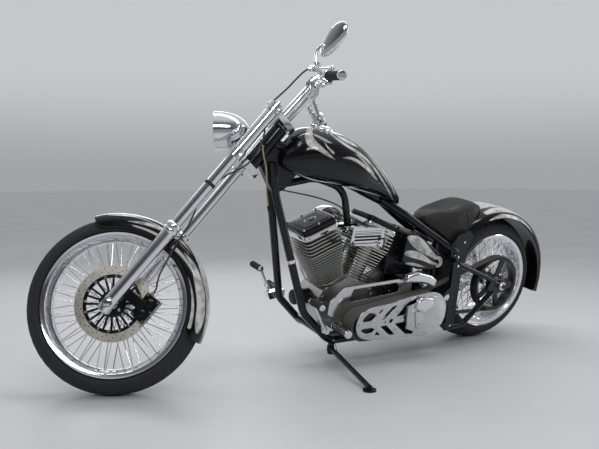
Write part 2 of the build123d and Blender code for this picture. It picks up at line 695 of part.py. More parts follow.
def cylinders():
    """Finned barrels and heads of the two cylinders."""
    made = []
    fin_pitch = (BARREL_TOP - CYLINDER_FOOT) / BARREL_FINS
    head_pitch = (HEAD_TOP - BARREL_TOP) / HEAD_FINS
    for lean in (1, -1):
        base = cylinder_plane(lean)
        middle = (CYLINDER_FOOT + BARREL_TOP) / 2
        whole = base * Pos(0, 0, middle) * Cylinder(BORE_R, BARREL_TOP - CYLINDER_FOOT)
        whole += base * Pos(0, 0, (BARREL_TOP + HEAD_TOP) / 2) * Box(128, 140, HEAD_TOP - BARREL_TOP)
        for i in range(BARREL_FINS):
            grow = i / (BARREL_FINS - 1)
            outline = RectangleRounded(124 + 54 * grow, 150 + 34 * grow, 26)
            whole += base * Pos(0, 0, CYLINDER_FOOT + fin_pitch * (i + 0.5)) * extrude(outline, FIN_WALL)
        for i in range(HEAD_FINS):
            outline = RectangleRounded(180, 2 * FIN_HALF, 20)
            whole += base * Pos(0, 0, BARREL_TOP + head_pitch * (i + 0.3)) * extrude(outline, FIN_WALL + 1)
        made.append(whole)
    return solids(*made)


def rocker_boxes():
    made = []
    for lean in (1, -1):
        outline = RectangleRounded(2 * ROCKER_HALF, 2 * FIN_HALF - 8, 16)
        height = ROCKER_TOP - HEAD_TOP - 0.2
        made.append(cylinder_plane(lean) * Pos(0, 0, HEAD_TOP + 0.2) * extrude(outline, height))
    return solids(*made)


def crankcase():
    """The case: a drum round the crank, the deck under the cylinders, and the cam cover."""
    x, z = CRANK
    case = across(x, z, CASE_R, -CASE_HALF, CASE_HALF)
    deck = [(x - 150, z + 60), (x - 150, z + 96), (x - 132, z + 126), (x, z + 180), (x + 132, z + 126),
            (x + 150, z + 100), (x + 150, z - 60), (x + 60, z - 108), (x - 80, z - 92), (x - 140, z - 20)]
    case += plate(deck, -DECK_HALF, DECK_HALF, 6)
    foot = CYLINDER_FOOT - 0.2
    for lean in (1, -1):
        case += cylinder_plane(lean) * Pos(0, 0, foot - 30) * Cylinder(BORE_R + 12, 60)
    case += across(x - 10, z + 30, 96, CASE_HALF, CASE_HALF + 46)
    case += across(x, z, CRANK_SHAFT_R, -DECK_HALF, PRIMARY_BELT_Y[1] - SHAFT_SEAT)
    return solids(case)


def transmission():
    """Gearbox behind the engine, with its starter and both drive shafts."""
    x, z = CLUTCH
    outline = [(x - 150, z - 92), (x - 150, z + 96), (x - 60, z + 130), (x + 60, z + 130), (x + 102, z + 90),
               (x + 102, z - 92)]
    half = FINAL_BELT_WIDTH / 2
    case = plate(outline, -100, 100, 14)
    case += across(x + 30, z + 128, 38, -156, -100)
    case += across(x, z, CLUTCH_SHAFT_R, PRIMARY_BELT_Y[1] - SHAFT_SEAT, -100)
    case += across(x, z, DRIVE_PULLEY_R, FINAL_BELT_Y - half, FINAL_BELT_Y + half)
    return solids(case)


def tangent_outline(front, front_r, rear, rear_r, steps=10):
    """Outline round two circles joined by their outer tangents, rear then front."""
    (x0, z0), (x1, z1) = front, rear
    heading = atan2(z1 - z0, x1 - x0)
    spread = acos((front_r - rear_r) / hypot(x1 - x0, z1 - z0))
    top, low = heading + spread, heading - spread
    arcs = []
    for (cx, cz), r, start, end in ((rear, rear_r, low, top), (front, front_r, top, low + 2 * pi)):
        mid = (start + end) / 2
        arcs.append([(cx + r * cos(a), cz + r * sin(a)) for a in (start, mid, end)])
    return arcs


def belt_hull(front, front_r, rear, rear_r, y0, y1):
    """The solid inside a belt that runs round two pulleys."""
    arcs = tangent_outline(front, front_r, rear, rear_r)
    edges = [ThreePointArc(*[(x, y0, z) for x, z in arc]) for arc in arcs]
    joins = [Line(edges[0] @ 1, edges[1] @ 0), Line(edges[1] @ 1, edges[0] @ 0)]
    return extrude(make_face([edges[0], joins[0], edges[1], joins[1]]), amount=y1 - y0, dir=(0, 1, 0))


def belt(front, front_r, rear, rear_r, y0, y1):
    whole = belt_hull(front, front_r + BELT_WALL, rear, rear_r + BELT_WALL, y0, y1)
    return whole - belt_hull(front, front_r, rear, rear_r, y0 - 1, y1 + 1)


def drive_belts():
    """The primary belt on the left of the engine, and the final belt to the rear wheel."""
    half = FINAL_BELT_WIDTH / 2 - 1
    primary = belt(CRANK, PRIMARY_FRONT_R, CLUTCH, PRIMARY_REAR_R, *PRIMARY_BELT_Y)
    final = belt(CLUTCH, DRIVE_PULLEY_R + SEAT_GAP, REAR_AXLE, PULLEY_R + 2 * SEAT_GAP,
                 FINAL_BELT_Y - half, FINAL_BELT_Y + half)
    return solids(primary, final)


def primary_pulleys():
    y0, y1 = PRIMARY_BELT_Y
    made = []
    pulleys = ((CRANK, PRIMARY_FRONT_R, CRANK_SHAFT_R), (CLUTCH, PRIMARY_REAR_R, CLUTCH_SHAFT_R))
    for center, r, shaft_r in pulleys:
        pulley = across(*center, r - SEAT_GAP, y0 + 2, y1 - 2)
        made.append(pulley - across(*center, shaft_r + RUNNING, y1 - SHAFT_SEAT, y1))
    return solids(*made)


def primary_outer_plate():
    """The open plate outside the primary belt, on posts from the motor plate."""
    y0, y1 = OUTER_PLATE_Y
    whole = belt_hull(CRANK, PRIMARY_FRONT_R + 11, CLUTCH, PRIMARY_REAR_R + 13, y0, y1)
    windows = [  # corners in x and z of each cut-out
        [(1040, 262), (1090, 282), (1112, 262), (1060, 242)],
        [(1052, 232), (1112, 232), (1096, 208), (1062, 206)],
        [(1128, 286), (1176, 300), (1196, 286), (1148, 262)],
        [(1134, 236), (1160, 238), (1196, 206), (1166, 200)],
        [(1206, 306), (1262, 322), (1262, 300), (1226, 282)],
        [(1200, 238), (1262, 238), (1262, 206), (1236, 200)]]
    for window in windows:
        whole -= plate(window, y0 - 2, y1 + 2)
    whole -= across(*CLUTCH, CLUTCH_COVER_R + SEAT_GAP, y0 - 2, y1 + 2)
    for x, z in ((1130, 240), (1236, 262)):
        whole += across(x, z, 8, y1, MOTOR_PLATE_Y[0] - 0.2)
    return solids(whole)


def clutch_cover():
    y0 = OUTER_PLATE_Y[0]
    dome = across(*CLUTCH, CLUTCH_COVER_R, y0 - 14, PRIMARY_BELT_Y[0] + 1.8)
    return solids(dome + across(*CLUTCH, 34, y0 - 26, y0 - 14))


def motor_plate():
    """The polished plate behind the primary belt, which ties engine and gearbox."""
    y0, y1 = MOTOR_PLATE_Y
    whole = belt_hull(CRANK, PRIMARY_FRONT_R + 2, CLUTCH, PRIMARY_REAR_R + 4, y0, y1)
    arch = [(880, 268), (884, 330), (950, 392), (1250, 408), (1330, 390), (1330, 180), (1000, 150),
            (972, 200), (950, 245)]
    whole += plate(arch, y0, y1, 12)
    whole -= plate([(980, 318), (1000, 380), (1240, 392), (1270, 350)], y0 - 2, y1 + 2, 12)
    whole -= across(*CRANK, CRANK_SHAFT_R + HOLE_PLAY, y0 - 2, y1 + 2)
    return solids(whole - across(*CLUTCH, CLUTCH_SHAFT_R + HOLE_PLAY, y0 - 2, y1 + 2))


def coil_cover():
    """Ribbed cover in the fork of the cylinders, on the left, with its stalk."""
    cover = plate([(982, 570), (992, 654), (1164, 640), (1160, 556)], -128, -100, 8)
    for i in range(5):
        cover += block((1076, -131, 574 + 14 * i), (150, 8, 6))
    return solids(cover + across(*INTAKE, 14, -104, -0.2))


def air_cleaner():
    """Round air cleaner on the right, with its inlet between the heads."""
    x, z = INTAKE
    body = across(x, z, AIR_CLEANER_R, 112, 168) + across(x, z, 66, 168, 180)
    return solids(body + across(x, z, INLET_R, 0, 112))


def exhaust_pipes():
    """Two pipes down the right side, from each head's port to the rear."""
    port = FIN_HALF + 0.3
    front = [(884, port, 545), (884, 178, 545), (960, 226, 380), (1070, 234, 196), (PIPE_REAR_X[0], 238, 196)]
    rear = [(1164, port, 545), (1164, 172, 545), (1235, 212, 400), (1330, 224, 262),
            (PIPE_REAR_X[1], 226, 262)]
    return solids(tube(front, PIPE_R, [50, 90, 80]), tube(rear, PIPE_R, [40, 90, 80]))


def oil_filter():
    """Canister on the front of the crankcase."""
    face = CRANK[0] - 150 - 0.2
    canister = Plane(origin=(face, 0, CRANK[1] + 78), z_dir=(-1, 0, 0))
    return [Solid.make_cylinder(OIL_FILTER_R, 84, canister)]


def oil_tank():
    """Oil tank under the seat, notched round the frame's posts."""
    outline = [(1294, 470), (1312, 606), (1345, 618), (1470, 540), (1560, 484), (1560, 420), (1400, 428)]
    tank = plate(outline, -OIL_TANK_HALF, OIL_TANK_HALF, 14)
    for side in SIDES:
        tank -= rod((POST_X, side * POST_Y, 300), (POST_X, side * POST_Y, 700), FRAME_R + SEAT_GAP)
    return solids(tank - block((POST_X + 60, 0, 520), (120, 2 * POST_Y, 300)))


def fuel_tank():
    """The stretched tank, lofted over the backbone from the neck to the seat."""
    sections = [  # x, bottom z, top z, half width
        (645, 905, 955, 40), (695, 878, 1004, 78), (745, 860, 1052, 122), (800, 844, 1066, 142),
        (880, 834, 1056, 152), (1000, 810, 1022, 146), (1120, 780, 944, 116), (1230, 748, 850, 70),
        (1312, 720, 766, 28)]
    faces = []
    for x, low, high, half in sections:
        corner = min(half, (high - low) / 2) * 0.72
        plane = Plane(origin=(x, 0, (low + high) / 2), x_dir=(0, 1, 0), z_dir=(1, 0, 0))
        faces.append(plane * RectangleRounded(2 * half, high - low, corner))
    body = loft(faces, ruled=True)
    start, end = backbone_ends()
    run = (end - start).normalized()
    down = Vector(run.Z, 0, -run.X)
    body -= rod(start, end + run * 120, BACKBONE_R + SEAT_GAP)
    slot = Plane(origin=(start + end) * 0.5 + down * 100, x_dir=run, z_dir=down)
    body -= slot * Box((end - start).length + 240, 2 * (BACKBONE_R + 12), 200)
    for side in SIDES:
        body -= seat_rail(side, SEAT_RAIL_R + SEAT_GAP)
    neck = neck_ends()
    return solids(body - rod(neck[0], neck[1] + FORK_UP * 60, NECK_R + 3))


def rear_fender():
    return solids(fender(REAR_AXLE, REAR_FENDER_R, REAR_FENDER_HALF, REAR_FENDER_SKIRT, REAR_FENDER_ARC))


def seat():
    """The solo saddle, as one closed pad on the rear mudguard, narrow at its nose."""
    outline = [  # x ahead of the rear axle, z above it, share of the fall towards its edges
        (454, 320, 0), (436, 354, 1), (370, 386, 1), (290, 408, 1), (210, 413, 1), (132, 402, 1),
        (84, 374, 1), (94, 300, 0), (260, 226, 0), (300, 216, 0)]
    rear_x, rear_z = REAR_AXLE
    sections = []
    for y, fall in ((-118, 28), (-80, 7), (80, 7), (118, 28)):
        corners = [(rear_x - x, y, rear_z + z - share * fall) for x, z, share in outline]
        sections.append(make_face(Polyline(*corners, close=True)))
    pad = loft(sections, ruled=True)
    pad -= across(*REAR_AXLE, REAR_FENDER_R + SEAT_GAP, -200, 200)
    for side in SIDES:
        taper = [(rear_x - 500, side * 130), (rear_x - 500, side * 20), (rear_x - 260, side * 130)]
        wedge = make_face(Polyline(*[(x, y, 500) for x, y in taper], close=True))
        pad -= extrude(wedge, amount=300, dir=(0, 0, 1))
    return solids(pad)


def tail_light():
    """A small lamp on the rear mudguard."""
    angle = radians(14)
    r = REAR_FENDER_R + SEAT_GAP + 12
    center = (REAR_AXLE[0] + r * cos(angle), 0, REAR_AXLE[1] + r * sin(angle))
    return solids(Plane(origin=center, x_dir=(cos(angle), 0, sin(angle)), z_dir=(0, 1, 0)) * Box(24, 34, 84))


# Controls and stand

def foot_controls():
    """The two pegs on their brackets, the shift lever and the brake pedal."""
    made = []
    face = RAIL_HALF + FRAME_R
    for x, z, side in ((930, 212, -1), (800, 290, 1)):
        peg = across(x, z, PEG_R, side * (face + PEG_EAR_WALL), side * PEG_END)
        low, high = sorted((side * PEG_SEAT_Y, side * (face + PEG_EAR_WALL)))
        ear = plate([(x + 16, z + 16), (x + 16, z - 18), (x - 60, z - 30), (x - 74, z + 4)], low, high, 6)
        made.append(peg + ear - cradle_tube(side, FRAME_R + SEAT_GAP))
    levers = (((878, 196), (790, 342), -1), ((768, 270), (704, 398), 1))
    for (pivot_x, pivot_z), (x, z), side in levers:
        y = side * (face + 26)
        lever = rod((pivot_x, y, pivot_z), (x, y, z), LEVER_R)
        lever += across(x, z, 12, y - side * LEVER_EYE_HALF, side * LEVER_END)
        boss_start = side * (face + PEG_EAR_WALL + 0.3)
        made.append(lever + across(pivot_x, pivot_z, 11, boss_start, y + side * LEVER_EYE_HALF))
    return solids(*made)


def rear_caliper():
    """Caliper over the rear disc, on a bracket from the rear arm's upper tube."""
    x, z = REAR_AXLE[0] - 118, REAR_AXLE[1] + 60
    gap = DISC_WALL / 2 + DISC_GAP
    body = block((x, REAR_DISC_Y, z), (66, 44, 90))
    body -= across(*REAR_AXLE, DISC_R + DISC_GAP, REAR_DISC_Y - gap, REAR_DISC_Y + gap)
    return solids(body + across(x, z, 11, REAR_DISC_Y + 20, ARM_Y - ARM_TUBE_R - 0.2))


# Parked pose: find the small pitch that puts both tyres on the floor

STEER_AXIS = Axis(fork(0, LEG_TO_STEM), FORK_UP)


def turn(vector, axis, angle):
    """A vector turned about a direction by the right-hand rule."""
    unit = Vector(*axis).normalized()
    c, s = cos(radians(angle)), sin(radians(angle))
    return vector * c + unit.cross(vector) * s + unit * (unit.dot(vector) * (1 - c))


def lowest(centre, axle, outer_r, crown_r):
    """Lowest height of a tyre whose crown is round."""
    return centre.Z - (outer_r - crown_r) * sqrt(1 - axle.Z ** 2) - crown_r


def parked_heights(pitch):
    """Lowest point of the front and of the rear tyre at one pitch."""
    foot = fork(0, LEG_TO_STEM)
    across_bike = Vector(0, 1, 0)
    front = turn(Vector(0, 0, FRONT_R) - foot, FORK_UP, -STEER_STOP) + foot
    front_axle_way = turn(across_bike, FORK_UP, -STEER_STOP)
    heights = []
    for centre, axle, r, crown in ((front, front_axle_way, FRONT_R, FRONT_CROWN_R),
                                   (Vector(WHEELBASE, 0, REAR_R), across_bike, REAR_R, REAR_CROWN_R)):
        centre, axle = (turn(turn(v, (0, 1, 0), pitch), (1, 0, 0), LEAN) for v in (centre, axle))
        heights.append(lowest(centre, axle, r, crown))
    return heights


PITCH = 0.0
for _ in range(8):
    front_low, rear_low = parked_heights(PITCH)
    PITCH -= degrees((front_low - rear_low) / WHEELBASE)
FLOOR = sum(parked_heights(PITCH)) / 2


def floor_height(x, y):
    """Height of the parked bike's floor in the upright frame, at a point."""
    up = turn(turn(Vector(0, 0, 1), (1, 0, 0), -LEAN), (0, 1, 0), -PITCH)
    return (FLOOR - up.X * x - up.Y * y) / up.Z


def side_stand():
    """The stand's leg, with its eye on the pivot pin and its pad flat on the floor."""
    x, y = STAND_FOOT
    up = turn(turn(Vector(0, 0, 1), (1, 0, 0), -LEAN), (0, 1, 0), -PITCH)
    sole = Vector(x, y, floor_height(x, y))
    pivot = Vector(*STAND_PIVOT)
    ankle = sole + up * 14
    leg = rod(pivot + (ankle - pivot).normalized() * 14, ankle, STAND_R)
    leg += Solid.make_cylinder(27, 8, Plane(origin=sole, z_dir=up))
    leg += Solid.make_cylinder(12, 12, Plane(origin=sole + up * 6, z_dir=up))
    eye = Plane(origin=pivot - STAND_AXIS * 11, z_dir=STAND_AXIS)
    leg += Solid.make_cylinder(19, 22, eye)
    return solids(leg - rod(pivot - STAND_AXIS * 30, pivot + STAND_AXIS * 30, STAND_PIN_R + RUNNING))


def stand_axis():
    x, y = STAND_FOOT
    leg = Vector(x, y, floor_height(x, y) + 14) - Vector(*STAND_PIVOT)
    return leg.cross(Vector(*STAND_FOLDED)).normalized()


STAND_AXIS = stand_axis()


def stand_bracket():
    """The stand's pin and the lug that holds it to the left rail, above its eye."""
    pivot = Vector(*STAND_PIVOT)
    made = rod(pivot - STAND_AXIS * 19, pivot + STAND_AXIS * 30, STAND_PIN_R)
    made += rod(pivot - STAND_AXIS * 23, pivot - STAND_AXIS * 16, 16)
    made += rod(pivot + STAND_AXIS * 16, pivot + STAND_AXIS * 30, 16)
    return made + rod(pivot + STAND_AXIS * 23, (STAND_PIVOT[0] + 14, -RAIL_HALF, RAIL_Z + 2), 9)


# Placing

def park(shape, steered=False):
    """Move a piece from the upright bike to its parked place."""
    if steered:
        shape = shape.rotate(STEER_AXIS, -STEER_STOP)
    shape = shape.rotate(Axis((0, 0, 0), (0, 1, 0)), PITCH)
    shape = shape.rotate(Axis((0, 0, 0), (1, 0, 0)), LEAN)
    return shape.translate((0, 0, -FLOOR))


def parked_way(way, steered=False):
    """A direction on the upright bike, as it lies when parked."""
    if steered:
        way = turn(way, FORK_UP, -STEER_STOP)
    return turn(turn(way, (0, 1, 0), PITCH), (1, 0, 0), LEAN)


def parked_point(point, steered=False):
    foot = fork(0, LEG_TO_STEM)
    if steered:
        point = turn(point - foot, FORK_UP, -STEER_STOP) + foot
    return parked_way(point) - Vector(0, 0, FLOOR)


def main():
    frame_pieces = {
        "main_frame": frame(), "swingarm": swingarm(), "rear_axle": rear_axle(), "crankcase": crankcase(),
        "cylinders": cylinders(), "rocker_boxes": rocker_boxes(), "transmission": transmission(),
        "drive_belts": drive_belts(), "primary_pulleys": primary_pulleys(), "clutch_cover": clutch_cover(),
        "primary_outer_plate": primary_outer_plate(), "motor_plate": motor_plate(),
        "coil_cover": coil_cover(), "air_cleaner": air_cleaner(), "exhaust_pipes": exhaust_pipes(),
        "oil_filter": oil_filter(), "oil_tank": oil_tank(), "fuel_tank": fuel_tank(), "seat": seat(),
        "rear_fender": rear_fender(), "tail_light": tail_light(), "foot_controls": foot_controls(),
        "rear_caliper": rear_caliper(), "control_cable": control_cable(), "side_stand": side_stand(),
        **rear_wheel()}
    fork_pieces = {
        "triple_trees": triple_trees(), "fork_tubes": fork_tubes(), "fork_sliders": fork_sliders(),
        "front_axle": front_axle(), "front_fender": front_fender(), **headlight(), **handlebar(),
        "grips": grips(), "hand_controls": hand_controls(), "mirror": mirror(),
        "front_caliper": front_caliper(), "front_hose": front_hose(), **front_wheel()}
    parked = {}
    for pieces, steered in ((frame_pieces, False), (fork_pieces, True)):
        for name, made in pieces.items():
            parked[name] = [park(solid, steered) for solid in made]
    box = Compound(children=[s for made in parked.values() for s in made]).bounding_box()
    shift = Vector(-(box.min.X + box.max.X) / 2, -(box.min.Y + box.max.Y) / 2, 0)
    os.makedirs("parts", exist_ok=True)
    for name, made in parked.items():
        export_step(Compound(label=name, children=[s.translate(shift) for s in made]), f"parts/{name}.step")
    across_bike = Vector(0, 1, 0)
    pivots = {  # name: point and direction on the upright bike, and whether it steers
        "steering": (fork(0, LEG_TO_STEM), FORK_UP, False),
        "front_wheel": (Vector(FRONT_AXLE[0], 0, FRONT_AXLE[1]), across_bike, True),
        "rear_wheel": (Vector(REAR_AXLE[0], 0, REAR_AXLE[1]), across_bike, False),
        "side_stand": (Vector(*STAND_PIVOT), STAND_AXIS, False)}
    for name, (point, way, steered) in pivots.items():
        print("pivot", name, tuple(parked_point(point, steered) + shift), tuple(parked_way(way, steered)))
    print("pitch", round(PITCH, 3), "shift", tuple(shift), "size", tuple(box.size))


main()
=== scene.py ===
"""The looks of a long chopper motorcycle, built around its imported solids.

Sizes are millimetres on the upright, straight-ahead bike: x runs back from the front axle, y to the
rider's right, z up from the floor. bike() and leg() carry such points to the parked, steered bike.
"""
import json
from collections import namedtuple
from math import cos, pi, radians, sin

import bmesh
import bpy
import numpy as np
from mathutils import Matrix, Vector

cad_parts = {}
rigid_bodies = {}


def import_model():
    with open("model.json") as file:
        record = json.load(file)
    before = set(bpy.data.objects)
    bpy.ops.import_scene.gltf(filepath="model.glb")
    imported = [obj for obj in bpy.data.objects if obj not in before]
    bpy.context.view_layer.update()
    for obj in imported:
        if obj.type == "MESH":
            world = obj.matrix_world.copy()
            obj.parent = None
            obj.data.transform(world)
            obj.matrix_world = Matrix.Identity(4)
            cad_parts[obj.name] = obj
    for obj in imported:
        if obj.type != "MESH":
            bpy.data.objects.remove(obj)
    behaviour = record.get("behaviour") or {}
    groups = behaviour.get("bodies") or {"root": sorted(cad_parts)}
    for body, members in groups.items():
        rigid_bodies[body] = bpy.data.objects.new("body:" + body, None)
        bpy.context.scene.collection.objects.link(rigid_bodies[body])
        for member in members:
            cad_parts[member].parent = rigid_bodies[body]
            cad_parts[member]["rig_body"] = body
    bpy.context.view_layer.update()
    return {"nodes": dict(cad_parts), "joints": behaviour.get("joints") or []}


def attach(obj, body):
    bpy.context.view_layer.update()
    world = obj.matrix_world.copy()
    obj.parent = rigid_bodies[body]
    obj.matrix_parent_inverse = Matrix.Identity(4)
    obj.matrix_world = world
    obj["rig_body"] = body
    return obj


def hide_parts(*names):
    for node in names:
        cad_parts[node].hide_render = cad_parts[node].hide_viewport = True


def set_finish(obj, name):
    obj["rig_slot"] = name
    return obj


bl_info = {
    "name": "Chopper Motorcycle",
    "version": (1, 0, 0),
    "blender": (4, 5, 0),
    "location": "3D View > Sidebar > Chopper",
    "description": "Builds the finished look of a long chopper motorcycle on its solids",
    "category": "Object",
}

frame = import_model()

# Coordinates

JOINTS = {joint["name"]: joint for joint in frame["joints"]}
WHEELBASE, REAR_Z, FRONT_Z, RAKE = 1900.0, 330.0, 344.0, radians(40)
REAR = np.array(JOINTS["rear_wheel_turn"]["pos_m"])
RIGHT = np.array(JOINTS["rear_wheel_turn"]["axis"])
ALONG = np.array(JOINTS["steering_turn"]["axis"])
OFF = np.cross(RIGHT, ALONG)
BACKWARD = sin(RAKE) * ALONG + cos(RAKE) * OFF
UPRIGHT = cos(RAKE) * ALONG - sin(RAKE) * OFF
FRONT = np.array(JOINTS["front_wheel_turn"]["pos_m"])
ACROSS = np.array(JOINTS["front_wheel_turn"]["axis"])
BEHIND = np.cross(ACROSS, ALONG)
SIDES = (-1, 1)
LEG_HALF = 120.0
FRONT_DISC_Y = -65.0
CRANK, CLUTCH = (1022.0, 230.0), (1385.0, 254.0)    # x and z of two shafts
CYLINDER_LEAN = radians(22.5)
LEFT_FACE = np.stack([BACKWARD, UPRIGHT, -RIGHT])    # ways of a plate drawn on the left side


def bike_way(ways):
    """Directions on the upright bike, as they lie on the parked one: a sum along its three axes."""
    return np.asarray(ways, float) @ np.stack([BACKWARD, RIGHT, UPRIGHT])


def bike(points):
    """Points of the upright bike's fixed part, in metres on the parked bike."""
    return REAR + bike_way(np.asarray(points, float) - (WHEELBASE, 0, REAR_Z)) / 1000


def leg_way(ways):
    """Directions of the fork (along the legs, back, right), as they lie when steered."""
    return np.asarray(ways, float) @ np.stack([ALONG, BEHIND, ACROSS])


def leg(points):
    """Points of the fork: along the legs from the front axle, back from their plane, to the right."""
    return FRONT + leg_way(points) / 1000


def steered(points):
    """Points given on the straight-ahead bike that turn with the fork, in metres when parked."""
    points = np.asarray(points, float)
    x, z = points[..., 0], points[..., 2] - FRONT_Z
    along = x * sin(RAKE) + z * cos(RAKE)
    back = x * cos(RAKE) - z * sin(RAKE)
    return leg(np.stack([along, back, points[..., 1]], -1))


def steered_way(ways):
    """Directions given on the straight-ahead bike that turn with the fork."""
    return steered(np.asarray(ways, float) + (0, 0, FRONT_Z)) - FRONT


# Surfaces, as grids of points

def unit(ways):
    """Directions of length one."""
    ways = np.asarray(ways, float)
    return ways / np.linalg.norm(ways, axis=-1, keepdims=True)


def spline(at, points, where):
    """Natural cubic spline: one cubic between each two points, with equal slope and bend where they meet."""
    at, points = np.asarray(at, float), np.asarray(points, float)
    step = np.diff(at)
    slope = np.diff(points, axis=0) / step[:, None]
    inner = np.arange(1, len(at) - 1)
    system = np.eye(len(at))
    system[inner, inner - 1] = step[:-1]
    system[inner, inner] = 2 * (step[:-1] + step[1:])
    system[inner, inner + 1] = step[1:]
    bend = np.zeros_like(points)
    bend[1:-1] = 6 * np.diff(slope, axis=0)
    bend = np.linalg.solve(system, bend)
    k = np.clip(np.searchsorted(at, where, side="right") - 1, 0, len(at) - 2)
    a, b, h = (at[k + 1] - where)[:, None], (where - at[k])[:, None], step[k][:, None]
    line = (points[k] / h - bend[k] * h / 6) * a + (points[k + 1] / h - bend[k + 1] * h / 6) * b
    return line + (bend[k] * a ** 3 + bend[k + 1] * b ** 3) / (6 * h)


def run_of(points):
    """How far along a flat line each of its points lies."""
    return np.r_[0, np.cumsum(np.hypot(*np.diff(points, axis=0).T))]


def flow(points, count):
    """Points along a spline through some points, with the distance between them as its parameter."""
    points = np.asarray(points, float)
    at = np.r_[0, np.cumsum(np.linalg.norm(np.diff(points, axis=0), axis=1))]
    return spline(at, points, np.linspace(0, at[-1], count))


def grid(points):
    """A grid of points as a surface: each four neighbours make a face, and its map is the grid itself."""
    rows, columns = points.shape[:2]
    i, j = np.meshgrid(np.arange(rows - 1), np.arange(columns - 1), indexing="ij")
    first = (i * columns + j).ravel()
    faces = np.stack([first, first + 1, first + columns + 1, first + columns], -1)
    u, v = np.meshgrid(np.linspace(0, 1, rows), np.linspace(0, 1, columns), indexing="ij")
    return points.reshape(-1, 3), faces, np.stack([u.ravel(), v.ravel()], -1)


def basis(ways):
    """Two directions square to each of some directions."""
    ways = unit(ways)
    other = np.where(np.abs(ways[..., 2:]) < 0.9, (0.0, 0.0, 1.0), (1.0, 0.0, 0.0))
    side = unit(np.cross(other, ways))
    return side, np.cross(ways, side)


def swing(angle, first, second):
    """Directions at some angles from one direction towards another: first cos t plus second sin t."""
    return np.cos(angle)[..., None] * first + np.sin(angle)[..., None] * second


def lathe(profile, centre, axis, steps=96, radii=None):
    """A profile turned about an axis: (radius cos t, radius sin t, height) for t round the circle."""
    profile = np.asarray(profile, float)
    side, top = basis(axis)
    angle = np.linspace(0, 2 * pi, steps + 1)
    radius = np.broadcast_to(profile[:, 0], (steps + 1, len(profile))) if radii is None else radii
    points = radius[..., None] * swing(angle, side, top)[:, None] + profile[:, 1:] * unit(axis)
    return grid(np.asarray(centre) + points / 1000)


def arc(first, last, count):
    """Points of a unit circle from one angle to another."""
    angle = np.linspace(first, last, count)
    return np.stack([np.cos(angle), np.sin(angle)], -1)


def circle(count=16):
    """A unit circle, its first point repeated at its end."""
    return arc(0, 2 * pi, count + 1)


def rounded(width, height, power=4.0, count=24):
    """A rounded rectangle as a superellipse: |x/w| to the power plus |y/h| to the power is one."""
    angle = np.linspace(0, 2 * pi, count + 1)
    c, s = np.cos(angle), np.sin(angle)
    wave = 2 / power
    return np.stack([width * np.sign(c) * np.abs(c) ** wave, height * np.sign(s) * np.abs(s) ** wave], -1)


def capped(points):
    """Rows of points, with one more row at each end that is drawn together to the middle."""
    ends = [np.broadcast_to(points[k].mean(0), points[:1].shape) for k in (0, -1)]
    return np.concatenate([ends[0], points, ends[1]])


def sweep(path, section, up, scale=None, closed=False):
    """A closed section carried along a path, square to it, with its ends drawn together to a point."""
    path = np.asarray(path, float)
    section = np.asarray(section, float) / 1000
    ahead = unit(np.gradient(path, axis=0))
    side = unit(np.cross(ahead, up))
    top = np.cross(side, ahead)
    scale = np.ones(len(path)) if scale is None else np.asarray(scale, float)
    spread = section[None, :, :1] * side[:, None] + section[None, :, 1:] * top[:, None]
    points = path[:, None] + spread * scale[:, None, None]
    if not closed:
        ends = [np.broadcast_to(path[k], points[:1].shape) for k in (0, -1)]
        points = np.concatenate([ends[0], points, ends[1]])
    return grid(points)


def copies(points):
    """Many grids of one size as one surface, with no face between them."""
    _, faces, across = grid(points[0])
    faces = faces + points[0].size // 3 * np.arange(len(points))[:, None, None]
    return points.reshape(-1, 3), faces.reshape(-1, 4), np.tile(across, (len(points), 1))


def studs(seats, ways, radius, height, sides=8, dome=0.72):
    """Copies of one small domed stud, each turned so that its height runs along its own direction."""
    seats, ways = np.atleast_2d(seats), np.atleast_2d(ways)
    side, top = basis(np.broadcast_to(ways, seats.shape))
    angle = np.linspace(0, 2 * pi, sides + 1)
    profile = np.array([(0, -0.05), (1, -0.05), (1, dome), (0.72, 1), (0, 1)]) * (radius, height) / 1000
    spread = swing(angle, side[:, None], top[:, None])[:, :, None]
    lift = profile[:, 1:] * unit(ways)[:, None, None]
    return copies(seats[:, None, None] + spread * profile[:, :1] + lift)


def box_of(centre, ways, half, power=6.0, rows=12, count=32):
    """A soft-edged block: a superellipse section that also closes in towards both ends by the same law."""
    ways = unit(ways)
    turn_by = np.linspace(-pi / 2, pi / 2, rows)
    wave = 2 / power
    reach = np.sign(np.sin(turn_by)) * np.abs(np.sin(turn_by)) ** wave * half[0]
    shrink = np.abs(np.cos(turn_by)) ** wave
    section = rounded(half[1], half[2], power, count)
    points = (reach[:, None, None] * ways[0] + shrink[:, None, None]
              * (section[None, :, :1] * ways[1] + section[None, :, 1:] * ways[2]))
    return grid(np.asarray(centre) + points / 1000)


def place(name, surfaces, material, body, slot, stands_for=(), angle=35, distance=None, merge=2e-6):
    """Joins surfaces into one closed mesh, smooth but for its sharp edges, that rides on a body."""
    starts = np.cumsum([0] + [len(s[0]) for s in surfaces])
    points = np.concatenate([s[0] for s in surfaces])
    faces = np.concatenate([s[1] + start for s, start in zip(surfaces, starts)])
    across = np.concatenate([s[2] for s in surfaces])
    mesh = bpy.data.meshes.new(name)
    mesh.from_pydata(points, [], faces)
    corners = np.zeros(len(mesh.loops), np.int32)
    mesh.loops.foreach_get("vertex_index", corners)
    mesh.uv_layers.new(name="UVMap").data.foreach_set("uv", across[corners].ravel())
    if distance is not None:
        mesh.attributes.new("lick", "FLOAT", "POINT").data.foreach_set("value", np.asarray(distance).ravel())
    soften(mesh, angle, merge)
    return settle(name, mesh, material, body, slot, stands_for)


